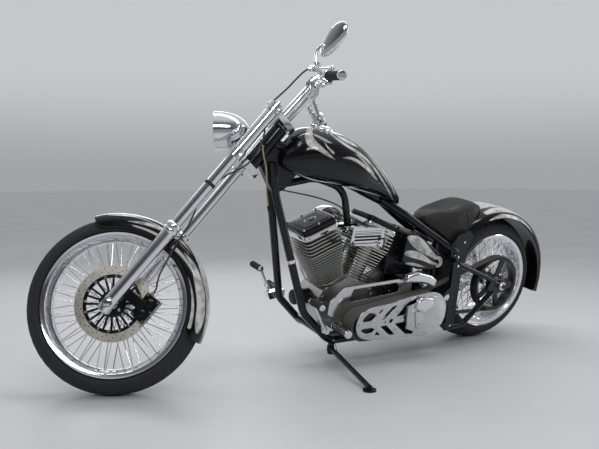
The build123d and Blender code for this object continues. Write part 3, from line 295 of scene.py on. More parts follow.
def soften(mesh, angle, merge, flatten=False):
    """Merges doubled points, turns the faces outwards and leaves only its sharp edges unsmoothed."""
    worked = bmesh.new()
    worked.from_mesh(mesh)
    bmesh.ops.remove_doubles(worked, verts=worked.verts, dist=merge)
    if flatten:
        bmesh.ops.dissolve_limit(worked, angle_limit=radians(0.6), verts=worked.verts, edges=worked.edges)
    bmesh.ops.recalc_face_normals(worked, faces=worked.faces)
    worked.to_mesh(mesh)
    worked.free()
    mesh.polygons.foreach_set("use_smooth", np.ones(len(mesh.polygons), bool))
    mesh.set_sharp_from_angle(angle=radians(angle))
    mesh.update()


def settle(name, mesh, material, body, slot, stands_for=()):
    """Puts a finished mesh in the scene, on its body, with its finish and its slot."""
    made = bpy.data.objects.new(name, mesh)
    bpy.context.scene.collection.objects.link(made)
    mesh.materials.clear()
    mesh.materials.append(bpy.data.materials[material])
    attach(made, body)
    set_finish(made, slot)
    if stands_for:
        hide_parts(*stands_for)
    return made


def refine(node, material, slot, edge=None, angle=30, segments=2):
    """A copy of a solid with its flats joined, its curves smooth and its edges slightly rounded."""
    source = frame["nodes"][node]
    mesh = source.data.copy()
    soften(mesh, angle, 2e-6, flatten=True)
    made = settle(node + "_look", mesh, material, source["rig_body"], slot, (node,))
    edge = bpy.context.scene.chopper_sizes.edge if edge is None else edge
    if edge:
        bevel = made.modifiers.new("Edge", "BEVEL")
        bevel.width, bevel.segments, bevel.angle_limit = edge, segments, radians(angle + 5)
        bevel.harden_normals = True
    return made


# Finishes

def new_group(name, inputs, outputs):
    """An empty shader node group with named inputs and outputs."""
    tree = bpy.data.node_groups.new(name, "ShaderNodeTree")
    for direction, sockets in (("INPUT", inputs), ("OUTPUT", outputs)):
        for label, kind, *value in sockets:
            made = tree.interface.new_socket(label, in_out=direction, socket_type="NodeSocket" + kind)
            if value:
                made.default_value = value[0]
    return tree, tree.nodes.new("NodeGroupInput"), tree.nodes.new("NodeGroupOutput")


def add(tree, kind, inputs=(), **settings):
    """A node with its settings, and its inputs either linked or set."""
    node = tree.nodes.new("ShaderNode" + kind)
    for key, value in settings.items():
        setattr(node, key, value)
    for key, value in dict(inputs).items():
        if isinstance(value, bpy.types.NodeSocket):
            tree.links.new(value, node.inputs[key])
        else:
            node.inputs[key].default_value = value
    return node


def ramp(tree, value, low, high, out_low=0.0, out_high=1.0, kind="SMOOTHSTEP"):
    """A value carried from one range to another."""
    node = add(tree, "MapRange", {"Value": value, "From Min": low, "From Max": high, "To Min": out_low,
                                  "To Max": out_high}, interpolation_type=kind)
    return node.outputs["Result"]


def mix(tree, factor, first, second):
    """A colour between two: the first times one minus the factor, plus the second times the factor."""
    return add(tree, "Mix", {"Factor": factor, 6: first, 7: second}, data_type="RGBA").outputs[2]


def noise(tree, vector, scale, detail, rough=0.5):
    """Layered noise on a place."""
    inputs = {"Vector": vector, "Scale": scale, "Detail": detail, "Roughness": rough}
    return add(tree, "TexNoise", inputs).outputs["Fac"]


def build_groups():
    """The effects that several finishes share."""
    tree, given, result = new_group(
        "Smudges", [("Vector", "Vector"), ("Scale", "Float", 9.0), ("Low", "Float", 0.1),
                    ("High", "Float", 0.2)], [("Roughness", "Float")])
    given = given.outputs
    patches = noise(tree, given["Vector"], given["Scale"], 6.0, 0.6)
    tree.links.new(ramp(tree, patches, 0.35, 0.68, given["Low"], given["High"]), result.inputs["Roughness"])

    tree, given, result = new_group(
        "Tint", [("Vector", "Vector"), ("Scale", "Float", 14.0), ("Colour", "Color"), ("Shade", "Color")],
        [("Colour", "Color")])
    given = given.outputs
    patches = ramp(tree, noise(tree, given["Vector"], given["Scale"], 5.0, 0.62), 0.3, 0.7)
    tree.links.new(mix(tree, patches, given["Colour"], given["Shade"]), result.inputs["Colour"])

    tree, given, result = new_group(
        "Grain", [("Vector", "Vector"), ("Scale", "Float", 900.0), ("Stretch", "Vector", (1, 1, 1))],
        [("Height", "Float")])
    given = given.outputs
    drawn = add(tree, "VectorMath", {0: given["Vector"], 1: given["Stretch"]}, operation="MULTIPLY")
    tree.links.new(noise(tree, drawn.outputs[0], given["Scale"], 3.0, 0.55), result.inputs["Height"])

    tree, given, result = new_group("Creases", [("Vector", "Vector"), ("Scale", "Float", 260.0)],
                                    [("Height", "Float")])
    given = given.outputs
    cells = add(tree, "TexVoronoi", {"Vector": given["Vector"], "Scale": given["Scale"]},
                feature="DISTANCE_TO_EDGE")
    tree.links.new(ramp(tree, cells.outputs["Distance"], 0.0, 0.16), result.inputs["Height"])

    tree, given, result = new_group(
        "Licks", [("Distance", "Float"), ("Vector", "Vector"), ("Paint", "Color"), ("Lick", "Color"),
                  ("Line", "Color")], [("Colour", "Color"), ("Mask", "Float")])
    given = given.outputs
    clouds = ramp(tree, noise(tree, given["Vector"], 26.0, 4.0), 0.35, 0.72)
    veined = mix(tree, clouds, given["Lick"], given["Line"])
    inside = ramp(tree, given["Distance"], 0.5, -0.5)
    outlined = mix(tree, ramp(tree, given["Distance"], -2.6, -1.8), veined, given["Line"])
    tree.links.new(mix(tree, inside, given["Paint"], outlined), result.inputs["Colour"])
    tree.links.new(inside, result.inputs["Mask"])


def use(tree, name, inputs):
    """A shared effect placed in a finish with its own values."""
    return add(tree, "Group", inputs, node_tree=bpy.data.node_groups[name])


SHADED = 0.86       # of a colour's light, in its darker patches


def finish(name, colour, metallic, roughness, shade=None, coat=0.0, grain=None, depth=0.0, scale=9.0,
           stretch=(1, 1, 1), creases=None, licks=False, plain=None):
    """A finish with uneven gloss, slightly uneven colour and a fine relief, all on the piece's own place."""
    material = bpy.data.materials.new(name)
    material.use_nodes = True
    tree = material.node_tree
    shader = tree.nodes["Principled BSDF"]
    place_of = add(tree, "TexCoord").outputs["Object"]
    shader.inputs["Metallic"].default_value = metallic
    shader.inputs["Coat Weight"].default_value = coat
    shader.inputs["Coat Roughness"].default_value = 0.03
    colour = (*colour, 1.0)
    shade = (*(shade or [SHADED * c for c in colour[:3]]), 1.0)
    if licks:
        colours = bpy.context.scene.chopper_colours
        distance = add(tree, "Attribute", attribute_name="lick", attribute_type="GEOMETRY").outputs["Fac"]
        shown = use(tree, "Licks", {"Distance": distance, "Vector": place_of, "Paint": colour,
                                    "Lick": (*colours.lick, 1.0), "Line": (*colours.lick_line, 1.0)})
    else:
        shown = use(tree, "Tint", {"Vector": place_of, "Scale": scale * 1.6, "Colour": colour,
                                   "Shade": shade})
    tree.links.new(shown.outputs["Colour"], shader.inputs["Base Color"])
    low, high = roughness
    worn = use(tree, "Smudges", {"Vector": place_of, "Scale": scale, "Low": low, "High": high})
    tree.links.new(worn.outputs["Roughness"], shader.inputs["Roughness"])
    height = None
    if grain:
        fine = use(tree, "Grain", {"Vector": place_of, "Scale": grain, "Stretch": stretch})
        height = fine.outputs["Height"]
    if creases:
        cells = use(tree, "Creases", {"Vector": place_of, "Scale": creases}).outputs["Height"]
        height = add(tree, "Math", {0: cells, 1: height}, operation="ADD").outputs[0] if height else cells
    if height:
        bump = add(tree, "Bump", {"Height": height, "Distance": depth, "Strength": 1.0})
        tree.links.new(bump.outputs["Normal"], shader.inputs["Normal"])
    for key, value in (plain or {}).items():
        shader.inputs[key].default_value = value
    return material


class ChopperSizes(bpy.types.PropertyGroup):
    edge: bpy.props.FloatProperty(name="Edge rounding", description="Width of the rounding on edges",
                                  default=0.0008, min=0.0, unit="LENGTH")
    tread: bpy.props.FloatProperty(name="Tread depth", description="Depth of the tyres' grooves",
                                   default=0.004, min=0.001, max=0.008, unit="LENGTH")
    grain: bpy.props.FloatProperty(name="Leather relief", description="Depth of the leather's creases",
                                   default=0.0004, min=0.0, unit="LENGTH")


class ChopperColours(bpy.types.PropertyGroup):
    paint: bpy.props.FloatVectorProperty(name="Paint", description="Gloss paint of tank and mudguards",
                                         default=(0.004, 0.004, 0.005), subtype="COLOR", min=0, max=1)
    lick: bpy.props.FloatVectorProperty(name="Licks", description="Licks painted on the tank and mudguards",
                                        default=(0.70, 0.69, 0.66), subtype="COLOR", min=0, max=1)
    lick_line: bpy.props.FloatVectorProperty(name="Lick line", description="Outline and clouds of the licks",
                                             default=(0.27, 0.27, 0.27), subtype="COLOR", min=0, max=1)
    chrome: bpy.props.FloatVectorProperty(name="Chrome", description="Chrome plate",
                                          default=(0.68, 0.69, 0.71), subtype="COLOR", min=0, max=1)
    leather: bpy.props.FloatVectorProperty(name="Leather", description="Leather of the seat",
                                           default=(0.008, 0.008, 0.008), subtype="COLOR", min=0, max=1)
    rubber: bpy.props.FloatVectorProperty(name="Rubber", description="Tyres, grips and pegs",
                                          default=(0.022, 0.022, 0.023), subtype="COLOR", min=0, max=1)
    floor: bpy.props.FloatVectorProperty(name="Floor", description="Plain studio floor",
                                         default=(0.62, 0.63, 0.65), subtype="COLOR", min=0, max=1)


class CHOPPER_OT_finishes(bpy.types.Operator):
    """Makes every finish: plates, castings, paints, rubber, leather and glass"""
    bl_idname = "chopper.finishes"
    bl_label = "Finishes"

    def execute(self, context):
        colours, sizes = context.scene.chopper_colours, context.scene.chopper_sizes
        build_groups()
        finish("chrome", colours.chrome, 1.0, (0.035, 0.09), scale=12.0)
        finish("satin_chrome", (0.70, 0.71, 0.73), 1.0, (0.14, 0.24), grain=1400.0, depth=0.00002)
        finish("polished", (0.74, 0.74, 0.75), 1.0, (0.10, 0.20), grain=700.0, depth=0.00003)
        finish("cast", (0.56, 0.555, 0.535), 1.0, (0.28, 0.42), grain=1100.0, depth=0.00012)
        finish("brushed", (0.60, 0.60, 0.61), 1.0, (0.18, 0.30), grain=500.0, stretch=(6, 6, 0.4),
               depth=0.00004)
        finish("satin_plate", (0.66, 0.66, 0.67), 1.0, (0.24, 0.34), grain=900.0, depth=0.00003)
        finish("fins", (0.42, 0.41, 0.385), 1.0, (0.28, 0.42), grain=1300.0, depth=0.00008)
        # Painted highlight: the fins' own colour made lighter, for the bands along the fin edges.
        finish("fin_edges", (0.62, 0.61, 0.58), 1.0, (0.22, 0.34), grain=1300.0, depth=0.00003)
        finish("frame_paint", colours.paint, 0.0, (0.14, 0.24), shade=(0.007, 0.007, 0.008),
               coat=0.8, plain={"Specular IOR Level": 0.1, "Coat IOR": 1.42})
        finish("black_cover", (0.008, 0.008, 0.009), 0.0, (0.20, 0.32), coat=0.2, grain=1800.0,
               depth=0.00002, plain={"Specular IOR Level": 0.15})
        finish("disc_steel", (0.72, 0.68, 0.62), 1.0, (0.36, 0.46), grain=500.0, stretch=(6, 6, 0.4),
               depth=0.00003)
        finish("dark_steel", (0.05, 0.05, 0.052), 0.8, (0.30, 0.45), grain=1200.0, depth=0.00006)
        finish("licked_paint", colours.paint, 0.0, (0.14, 0.22), coat=0.9, licks=True,
               plain={"Specular IOR Level": 0.1, "Coat IOR": 1.45})
        finish("tyre", colours.rubber, 0.0, (0.52, 0.70), shade=(0.034, 0.033, 0.032), grain=1500.0,
               depth=0.0001)
        finish("rubber", colours.rubber, 0.0, (0.45, 0.62), shade=(0.03, 0.03, 0.03), grain=1700.0,
               depth=0.0001)
        finish("belt", (0.030, 0.029, 0.029), 0.0, (0.46, 0.62), grain=900.0, depth=0.0001)
        finish("leather", colours.leather, 0.0, (0.17, 0.30), shade=(0.012, 0.012, 0.012), grain=520.0,
               creases=330.0, depth=sizes.grain, plain={"Specular IOR Level": 0.35})
        finish("hose", (0.50, 0.49, 0.46), 0.6, (0.30, 0.45), creases=900.0, depth=0.0003)
        finish("cable", (0.46, 0.38, 0.26), 0.0, (0.40, 0.52), grain=1200.0, depth=0.00005)
        finish("mirror_glass", (0.86, 0.87, 0.88), 1.0, (0.01, 0.02))
        finish("red_lens", (0.30, 0.008, 0.008), 0.0, (0.08, 0.14), coat=1.0)
        finish("brass", (0.55, 0.42, 0.20), 1.0, (0.2, 0.35))
        finish("lens_glass", (0.93, 0.94, 0.95), 0.0, (0.02, 0.04), shade=(0.9, 0.91, 0.92),
               plain={"Transmission Weight": 0.92, "IOR": 1.45})
        return {"FINISHED"}


# Looks of the solids that keep their shape: node, finish, slot, edge rounding

KEPT = (
    ("main_frame", "frame_paint", "black_metal", 0.0012), ("swingarm", "frame_paint", "black_metal", 0.0025),
    ("rear_axle", "chrome", "chrome", None), ("crankcase", "cast", "cast_aluminium", 0.003),
    ("cylinders", "fins", "fin_metal", 0.0005), ("transmission", "black_cover", "black_metal", 0.004),
    ("drive_belts", "belt", "belt", 0.001), ("primary_pulleys", "dark_steel", "steel", None),
    ("motor_plate", "polished", "aluminium", 0.001), ("coil_cover", "chrome", "chrome", 0.002),
    ("air_cleaner", "chrome", "chrome", 0.006), ("exhaust_pipes", "chrome", "chrome", None),
    ("foot_controls", "chrome", "chrome", 0.0015), ("rear_caliper", "polished", "aluminium", 0.003),
    ("side_stand", "black_cover", "black_metal", 0.0015), ("rear_hub", "chrome", "chrome", None),
    ("rear_brake_disc", "brushed", "steel", 0.0006), ("rear_pulley", "dark_steel", "black_metal", None),
    ("rear_spokes", "chrome", "chrome", 0), ("triple_trees", "polished", "aluminium", 0.004),
    ("fork_tubes", "chrome", "chrome", None), ("fork_sliders", "chrome", "chrome", 0.002),
    ("front_axle", "chrome", "chrome", None), ("handlebar", "chrome", "chrome", None),
    ("handlebar_risers", "chrome", "chrome", 0.003), ("hand_controls", "chrome", "chrome", 0.002),
    ("front_caliper", "black_cover", "black_metal", 0.004), ("front_hub", "chrome", "chrome", None),
    ("front_spokes", "chrome", "chrome", 0), ("front_hose", "hose", "hose", 0),
    ("control_cable", "cable", "hose", 0),
)


class CHOPPER_OT_kept_solids(bpy.types.Operator):
    """Finishes the solids whose own shape is right, with smooth curves and rounded edges"""
    bl_idname = "chopper.kept_solids"
    bl_label = "Kept solids"

    def execute(self, context):
        for node, material, slot, edge in KEPT:
            if node in frame["nodes"]:
                refine(node, material, slot, edge)
        return {"FINISHED"}


# Licks: tapered strokes, given by points (along, across) and radii, in millimetres on the surface

FAR, UNPAINTED = 400.0, 30.0        # distances that lie outside every lick


def lick_distance(along, across, strokes):
    """Distance of each point to the nearest stroke's edge: distance to its line minus its radius there."""
    where = np.stack([along.ravel(), across.ravel()], -1).astype(np.float32)
    nearest = np.full(len(where), FAR, np.float32)
    for stroke in strokes:
        stroke = np.asarray(stroke, float)
        line = flow(stroke, 14 * len(stroke)).astype(np.float32)
        radius = np.maximum(line[:, 2], 0.0)
        apart = np.hypot(where[:, :1] - line[:, 0], where[:, 1:] - line[:, 1]) - radius
        nearest = np.minimum(nearest, apart.min(1))
    return nearest


TANK_LICKS = (
    [(826, 16, 4), (786, 30, 11), (756, 66, 16), (750, 106, 16), (772, 146, 12), (806, 180, 8),
     (850, 210, 0)],
    [(800, 116, 0), (808, 146, 4), (836, 178, 6)],
    [(858, 44, 5), (862, 84, 9), (890, 120, 10), (946, 142, 10), (1014, 152, 9), (1090, 156, 8),
     (1170, 148, 6), (1240, 128, 3)],
    [(884, 60, 2), (902, 88, 14), (942, 102, 18), (978, 110, 5)],
    [(862, 22, 3), (916, 34, 11), (986, 60, 14), (1062, 82, 15), (1150, 94, 12), (1240, 96, 6)],
    [(820, 4, 6), (890, 4, 12), (970, 4, 13), (1060, 4, 12), (1170, 4, 10), (1280, 4, 5)],
    [(868, 198, 0), (914, 188, 6), (976, 190, 9), (1042, 192, 8), (1110, 184, 3)],
    [(1010, 118, 0), (1080, 124, 7), (1150, 122, 6), (1210, 112, 0)],
)
FRONT_GUARD_LICKS = (
    [(30, 0, 16), (90, 0, 19), (180, 0, 16), (300, 0, 8), (420, 0, 5)],
    [(34, 34, 11), (90, 50, 16), (180, 48, 12), (270, 34, 7), (330, 22, 0)],
    [(120, 92, 0), (190, 86, 6), (260, 76, 9), (330, 66, 8), (400, 56, 5), (470, 56, 0)],
    [(380, 20, 2), (460, 30, 14), (560, 34, 22), (650, 30, 20), (730, 28, 17), (776, 26, 10)],
    [(420, 84, 0), (500, 76, 11), (590, 78, 17), (680, 74, 19), (750, 72, 16), (778, 70, 8)],
    [(540, 112, 3), (620, 112, 8), (700, 110, 10), (770, 106, 8)],
)
REAR_GUARD_LICKS = (
    [(200, 34, 20), (270, 30, 30), (360, 34, 32), (460, 46, 27), (580, 56, 17), (700, 52, 6)],
    [(210, 104, 14), (290, 98, 24), (380, 98, 24), (480, 106, 18), (590, 114, 10), (700, 110, 0)],
    [(200, 152, 6), (290, 148, 13), (390, 146, 13), (500, 150, 10), (610, 158, 6), (720, 160, 0)],
    [(560, 10, 0), (640, 12, 12), (740, 18, 17), (840, 14, 15), (990, 8, 6)],
    [(660, 84, 0), (740, 90, 11), (840, 88, 15), (920, 94, 12), (994, 100, 5)],
    [(760, 142, 0), (840, 138, 8), (930, 142, 9), (990, 146, 4)],
)
OIL_TANK_LICKS = (
    [(1322, 588, 12), (1352, 574, 24), (1392, 550, 28), (1432, 524, 22), (1470, 500, 14), (1500, 480, 9)],
    [(1316, 514, 12), (1350, 508, 18), (1398, 494, 17), (1440, 476, 12), (1476, 458, 8), (1512, 448, 6)],
    [(1508, 482, 9), (1532, 468, 12), (1534, 446, 11), (1512, 438, 7)],
    [(1322, 462, 7), (1360, 458, 8), (1410, 446, 5), (1450, 436, 0)],
)


class CHOPPER_OT_tank(bpy.types.Operator):
    """Stretched fuel tank: superellipse sections on splines, with its licks, cap and seam"""
    bl_idname = "chopper.tank"
    bl_label = "Fuel tank"

    def execute(self, context):
        table = np.array([  # x, lower edge, upper edge, half width
            (645, 905, 955, 44), (695, 878, 1004, 84), (745, 860, 1048, 122), (800, 846, 1064, 141),
            (880, 835, 1056, 151), (1000, 811, 1022, 145), (1120, 781, 944, 116), (1230, 749, 850, 72),
            (1312, 721, 764, 30)], float)
        nose, tail = table[[0, -1], 0]
        x = np.linspace(nose, tail, 230)
        low, high, half = spline(table[:, 0], table[:, 1:], x).T
        front, rear = np.clip((x - nose) / 26, 0, 1), np.clip((tail - x) / 16, 0, 1)
        close = np.sqrt(1 - (1 - front) ** 2) * np.sqrt(1 - (1 - rear) ** 2)
        middle, tall = low + (high - low) * 0.42, high - low
        around = np.linspace(-pi, pi, 181)
        c, s = np.cos(around), np.sin(around)
        upper, lower = 2 / 2.25, 2 / 3.4
        wide = np.where(c > 0, np.abs(s) ** upper, np.abs(s) ** lower) * np.sign(s)
        lift = np.where(c > 0, 0.58 * np.abs(c) ** upper, -0.42 * np.abs(c) ** lower)
        y = (close * half)[:, None] * wide
        z = middle[:, None] + (close * tall)[:, None] * lift
        crease = 2.6 * np.exp(-((np.abs(around) - 1.86) / 0.05) ** 2) * (np.abs(s) > 0.4)
        y = y - np.sign(s) * crease * close[:, None]
        points = np.stack([np.broadcast_to(x[:, None], y.shape), y, z], -1)
        steps = np.hypot(np.diff(y, axis=1, prepend=y[:, :1]), np.diff(z, axis=1, prepend=z[:, :1]))
        girth = np.cumsum(steps, 1)
        girth = np.abs(girth - girth[:, [len(around) // 2]])
        distance = lick_distance(np.broadcast_to(x[:, None], y.shape), girth, TANK_LICKS).reshape(y.shape)
        distance = np.concatenate([distance[:1], distance, distance[-1:]])
        place("tank_shell", [grid(bike(capped(points)))], "licked_paint", "frame", "painted",
              ("fuel_tank",), 40, distance)
        cap_at, lean_back = bike((848, -38, 1057)), bike_way((0.05, -0.16, 1))
        flutes = 1 + 0.03 * np.cos(np.linspace(0, 2 * pi, 97) * 24)
        cap = np.array([(0, 16), (22, 15.5), (30, 12), (33, 7), (33, -6), (40, -7), (40, -10), (0, -10)])
        radii = cap[:, 0] * np.where((cap[:, 0] > 29) & (cap[:, 0] < 36), 1, 0)[None] * flutes[:, None]
        radii = np.where(radii > 0, radii, cap[:, 0][None])
        place("tank_cap", [lathe(cap, cap_at, lean_back, 96, radii)], "chrome", "frame", "chrome")
        return {"FINISHED"}


def guard(centre, ends_deg, outer_r, crown, thick, tip, put, count, licks):
    """A mudguard's skin: a domed profile turned about the axle, its corners rounded off towards its tips."""
    crown = np.asarray(crown, float)
    both = np.concatenate([crown[::-1] * (1, -1), crown[1:]])
    girth = run_of(both)
    s = np.linspace(0, girth[-1], 61)
    drop, y = spline(girth, both, s).T
    s = s - girth[-1] / 2
    length = radians(ends_deg[0] - ends_deg[1]) * outer_r
    at = np.linspace(0, length, count)
    to_tip = np.minimum(at, length - at)
    close = np.clip(to_tip / tip, 0, 1)
    keep = 0.62 + 0.38 * np.sqrt(1 - (1 - close) ** 2)
    angle = radians(ends_deg[0]) - at / outer_r
    reach = s[None] * keep[:, None]
    drop_at, y_at = np.interp(reach, s, drop), np.interp(reach, s, y)
    edge = np.exp(-((np.abs(s[None]) - s[-1]) / 3.5) ** 2) + np.exp(-(to_tip[:, None] / 4) ** 2)
    wall = thick + 2.2 * np.clip(edge, 0, 1)
    outside, inside = outer_r + drop_at, outer_r + drop_at - wall
    y_in = y_at * (1 - wall / 160)
    radius = np.concatenate([outside, inside[:, ::-1], outside[:, :1]], 1)
    width = np.concatenate([y_at, y_in[:, ::-1], y_at[:, :1]], 1)
    c, sn = np.cos(angle)[:, None], np.sin(angle)[:, None]
    points = np.stack([centre[0] + radius * c, width, centre[1] + radius * sn], -1)
    ends = [points[[k]] for k in (0, -1)]
    middle = [0.5 * (end + np.concatenate([end[:, :1], end[:, -2::-1]], 1)) for end in ends]
    points = np.concatenate([middle[0], points, middle[1]])
    spread = np.abs(np.concatenate([reach, reach[:, ::-1], reach[:, :1]], 1))
    distance = lick_distance(np.broadcast_to(at[:, None], spread.shape), spread, licks).reshape(spread.shape)
    distance[:, len(s):-1] = UNPAINTED
    distance = np.concatenate([distance[:1], distance, distance[-1:]])
    return grid(put(points)), distance


class CHOPPER_OT_mudguards(bpy.types.Operator):
    """Front and rear mudguards: domed skins with rolled edges and licks, and the front one's stays"""
    bl_idname = "chopper.mudguards"
    bl_label = "Mudguards"

    def execute(self, context):
        crown = [(0, 0), (-1.5, 24), (-9, 48), (-27, 67), (-62, 75)]
        skin, distance = guard((0, FRONT_Z), (103, -26), 364, crown, 3.5, 46, steered, 260,
                               FRONT_GUARD_LICKS)
        place("front_mudguard", [skin], "licked_paint", "steering", "painted", ("front_fender",), 40,
              distance)
        stays = []
        for side in SIDES:
            for along in (310, 325):
                ends = np.array([(along, 0, side * 68), (along, 0, side * 92.6)], float)
                stays.append(sweep(leg(flow(ends, 4)), circle() * 7, ALONG))
            seats = leg([(318, back, side * 76) for back in (-6, 6)])
            stays.append(studs(seats, leg_way([(0, 0, side)] * 2), 5, 4))
        place("front_mudguard_stays", stays, "chrome", "steering", "chrome")
        crown = [(0, 0), (-2, 60), (-9, 100), (-22, 126), (-42, 137)]
        axle = (WHEELBASE, REAR_Z)
        skin, distance = guard(axle, (136, -14), 382, crown, 3.5, 52, bike, 300, REAR_GUARD_LICKS)
        place("rear_mudguard", [skin], "licked_paint", "frame", "painted", ("rear_fender",), 40, distance)
        angle, lamp_r = radians(14), 394
        out = bike_way((cos(angle), 0, sin(angle)))
        up = bike_way((-sin(angle), 0, cos(angle)))
        seat = bike((WHEELBASE + lamp_r * cos(angle), 0, REAR_Z + lamp_r * sin(angle)))
        ways = np.stack([out, RIGHT, up])
        place("tail_lamp", [box_of(seat + out * 0.002, ways, (10, 40, 15), 5)], "red_lens", "frame",
              "plastic", ("tail_light",))
        place("tail_lamp_rim", [box_of(seat - out * 0.004, ways, (7, 42, 17), 7)], "chrome", "frame",
              "chrome")
        return {"FINISHED"}


class CHOPPER_OT_oil_tank(bpy.types.Operator):
    """Oil tank under the seat: the solid with its edges rounded, and its licks"""
    bl_idname = "chopper.oil_tank"
    bl_label = "Oil tank"

    def execute(self, context):
        source = frame["nodes"]["oil_tank"]
        mesh = source.data.copy()
        soften(mesh, 30, 2e-6)
        made = settle("oil_tank_shell", mesh, "licked_paint", "frame", "painted", ("oil_tank",))
        for kind, name in (("REMESH", "Fine"), ("SMOOTH", "Round")):
            made.modifiers.new(name, kind)
        made.modifiers["Fine"].voxel_size = 0.0032
        made.modifiers["Round"].iterations = 8
        worked = bpy.data.meshes.new_from_object(made.evaluated_get(context.evaluated_depsgraph_get()))
        made.modifiers.clear()
        made.data = worked
        worked.materials.clear()
        worked.materials.append(bpy.data.materials["licked_paint"])
        points = np.zeros(len(worked.vertices) * 3)
        worked.vertices.foreach_get("co", points)
        local = (points.reshape(-1, 3) - REAR) * 1000 @ np.stack([BACKWARD, RIGHT, UPRIGHT]).T
        local = local + (WHEELBASE, 0, REAR_Z)
        distance = lick_distance(local[:, 0], local[:, 2], OIL_TANK_LICKS)
        distance = np.where(np.abs(local[:, 1]) > 96, distance, UNPAINTED)
        worked.attributes.new("lick", "FLOAT", "POINT").data.foreach_set("value", distance)
        worked.polygons.foreach_set("use_smooth", np.ones(len(worked.polygons), bool))
        return {"FINISHED"}


# Radii of tyre, crown and rim, the crown's half angle, the rim's half width, the tread's cuts and their
# slant, the spoke flange's radius and place, the disc's place, steps round the tyre and lines across it
Wheel = namedtuple("Wheel", "name centre axis outer crown spread rim_r half repeats slant hub_r flange_y "
                            "disc_y steps lines")
WHEELS = (
    Wheel("front", FRONT, ACROSS, 344, 59, 75, 281.5, 46, 46, 0.017, 42.0, 34.0, FRONT_DISC_Y, 940, 90),
    Wheel("rear", REAR, RIGHT, 330, 125, 62, 243, 104, 42, 0.008, 56.0, 62.0, 136, 800, 106),
)


def tread(profile, wheel, depth):
    """A tyre: a profile turned about the axle, its crown lowered along two rings and many slanted cuts.

    The lines across it lie about five times closer on the crown, where the grooves are, than on the walls.
    """
    width = wheel.crown * sin(radians(wheel.spread))
    run = run_of(profile)
    even = np.linspace(0, run[-1], 800)
    share = np.cumsum(0.25 + np.exp(-(np.abs(spline(run, profile, even)[:, 1]) / width) ** 8))
    fine = np.interp(np.linspace(share[0], share[-1], wheel.lines), share, even)
    radius, y = spline(run, profile, fine).T
    off = np.abs(y)
    angle = np.linspace(0, 2 * pi, wheel.steps + 1)[:, None]
    rings = np.exp(-((off - 0.18 * width) / 2.4) ** 4)
    phase = (angle * wheel.repeats / (2 * pi) + wheel.slant * off + 0.5 * (y > 0)) % 1.0
    cuts = np.exp(-(np.abs(phase - 0.5) / 0.11) ** 4) * (1 / (1 + np.exp(-(off - 0.26 * width) / 1.2)))
    groove = depth * np.exp(-(off / width) ** 8) * np.maximum(rings, cuts * (off < width))
    radii = radius - groove * (radius > radius.max() - 0.9 * width)
    return lathe(np.stack([radius, y], -1), wheel.centre, wheel.axis, wheel.steps, radii)


def tyre_profile(outer_r, crown_r, crown_deg, rim_r, bead):
    """Half a tyre's section and its mirror: round crown, bulged wall, and in to the bead."""
    turn = np.radians(np.linspace(0, crown_deg, 9))
    crown = np.stack([outer_r - crown_r + crown_r * np.cos(turn), crown_r * np.sin(turn)], -1)
    low, wide = crown[-1]
    tall = low - rim_r
    wall = [(rim_r + 0.62 * tall, wide * 0.99), (rim_r + 0.3 * tall, 0.6 * wide + 0.4 * bead),
            (rim_r + 5, bead + 2.5), (rim_r - 6, bead - 1)]
    half = np.concatenate([crown, wall])
    return np.concatenate([half[::-1] * (1, -1), half[1:]])


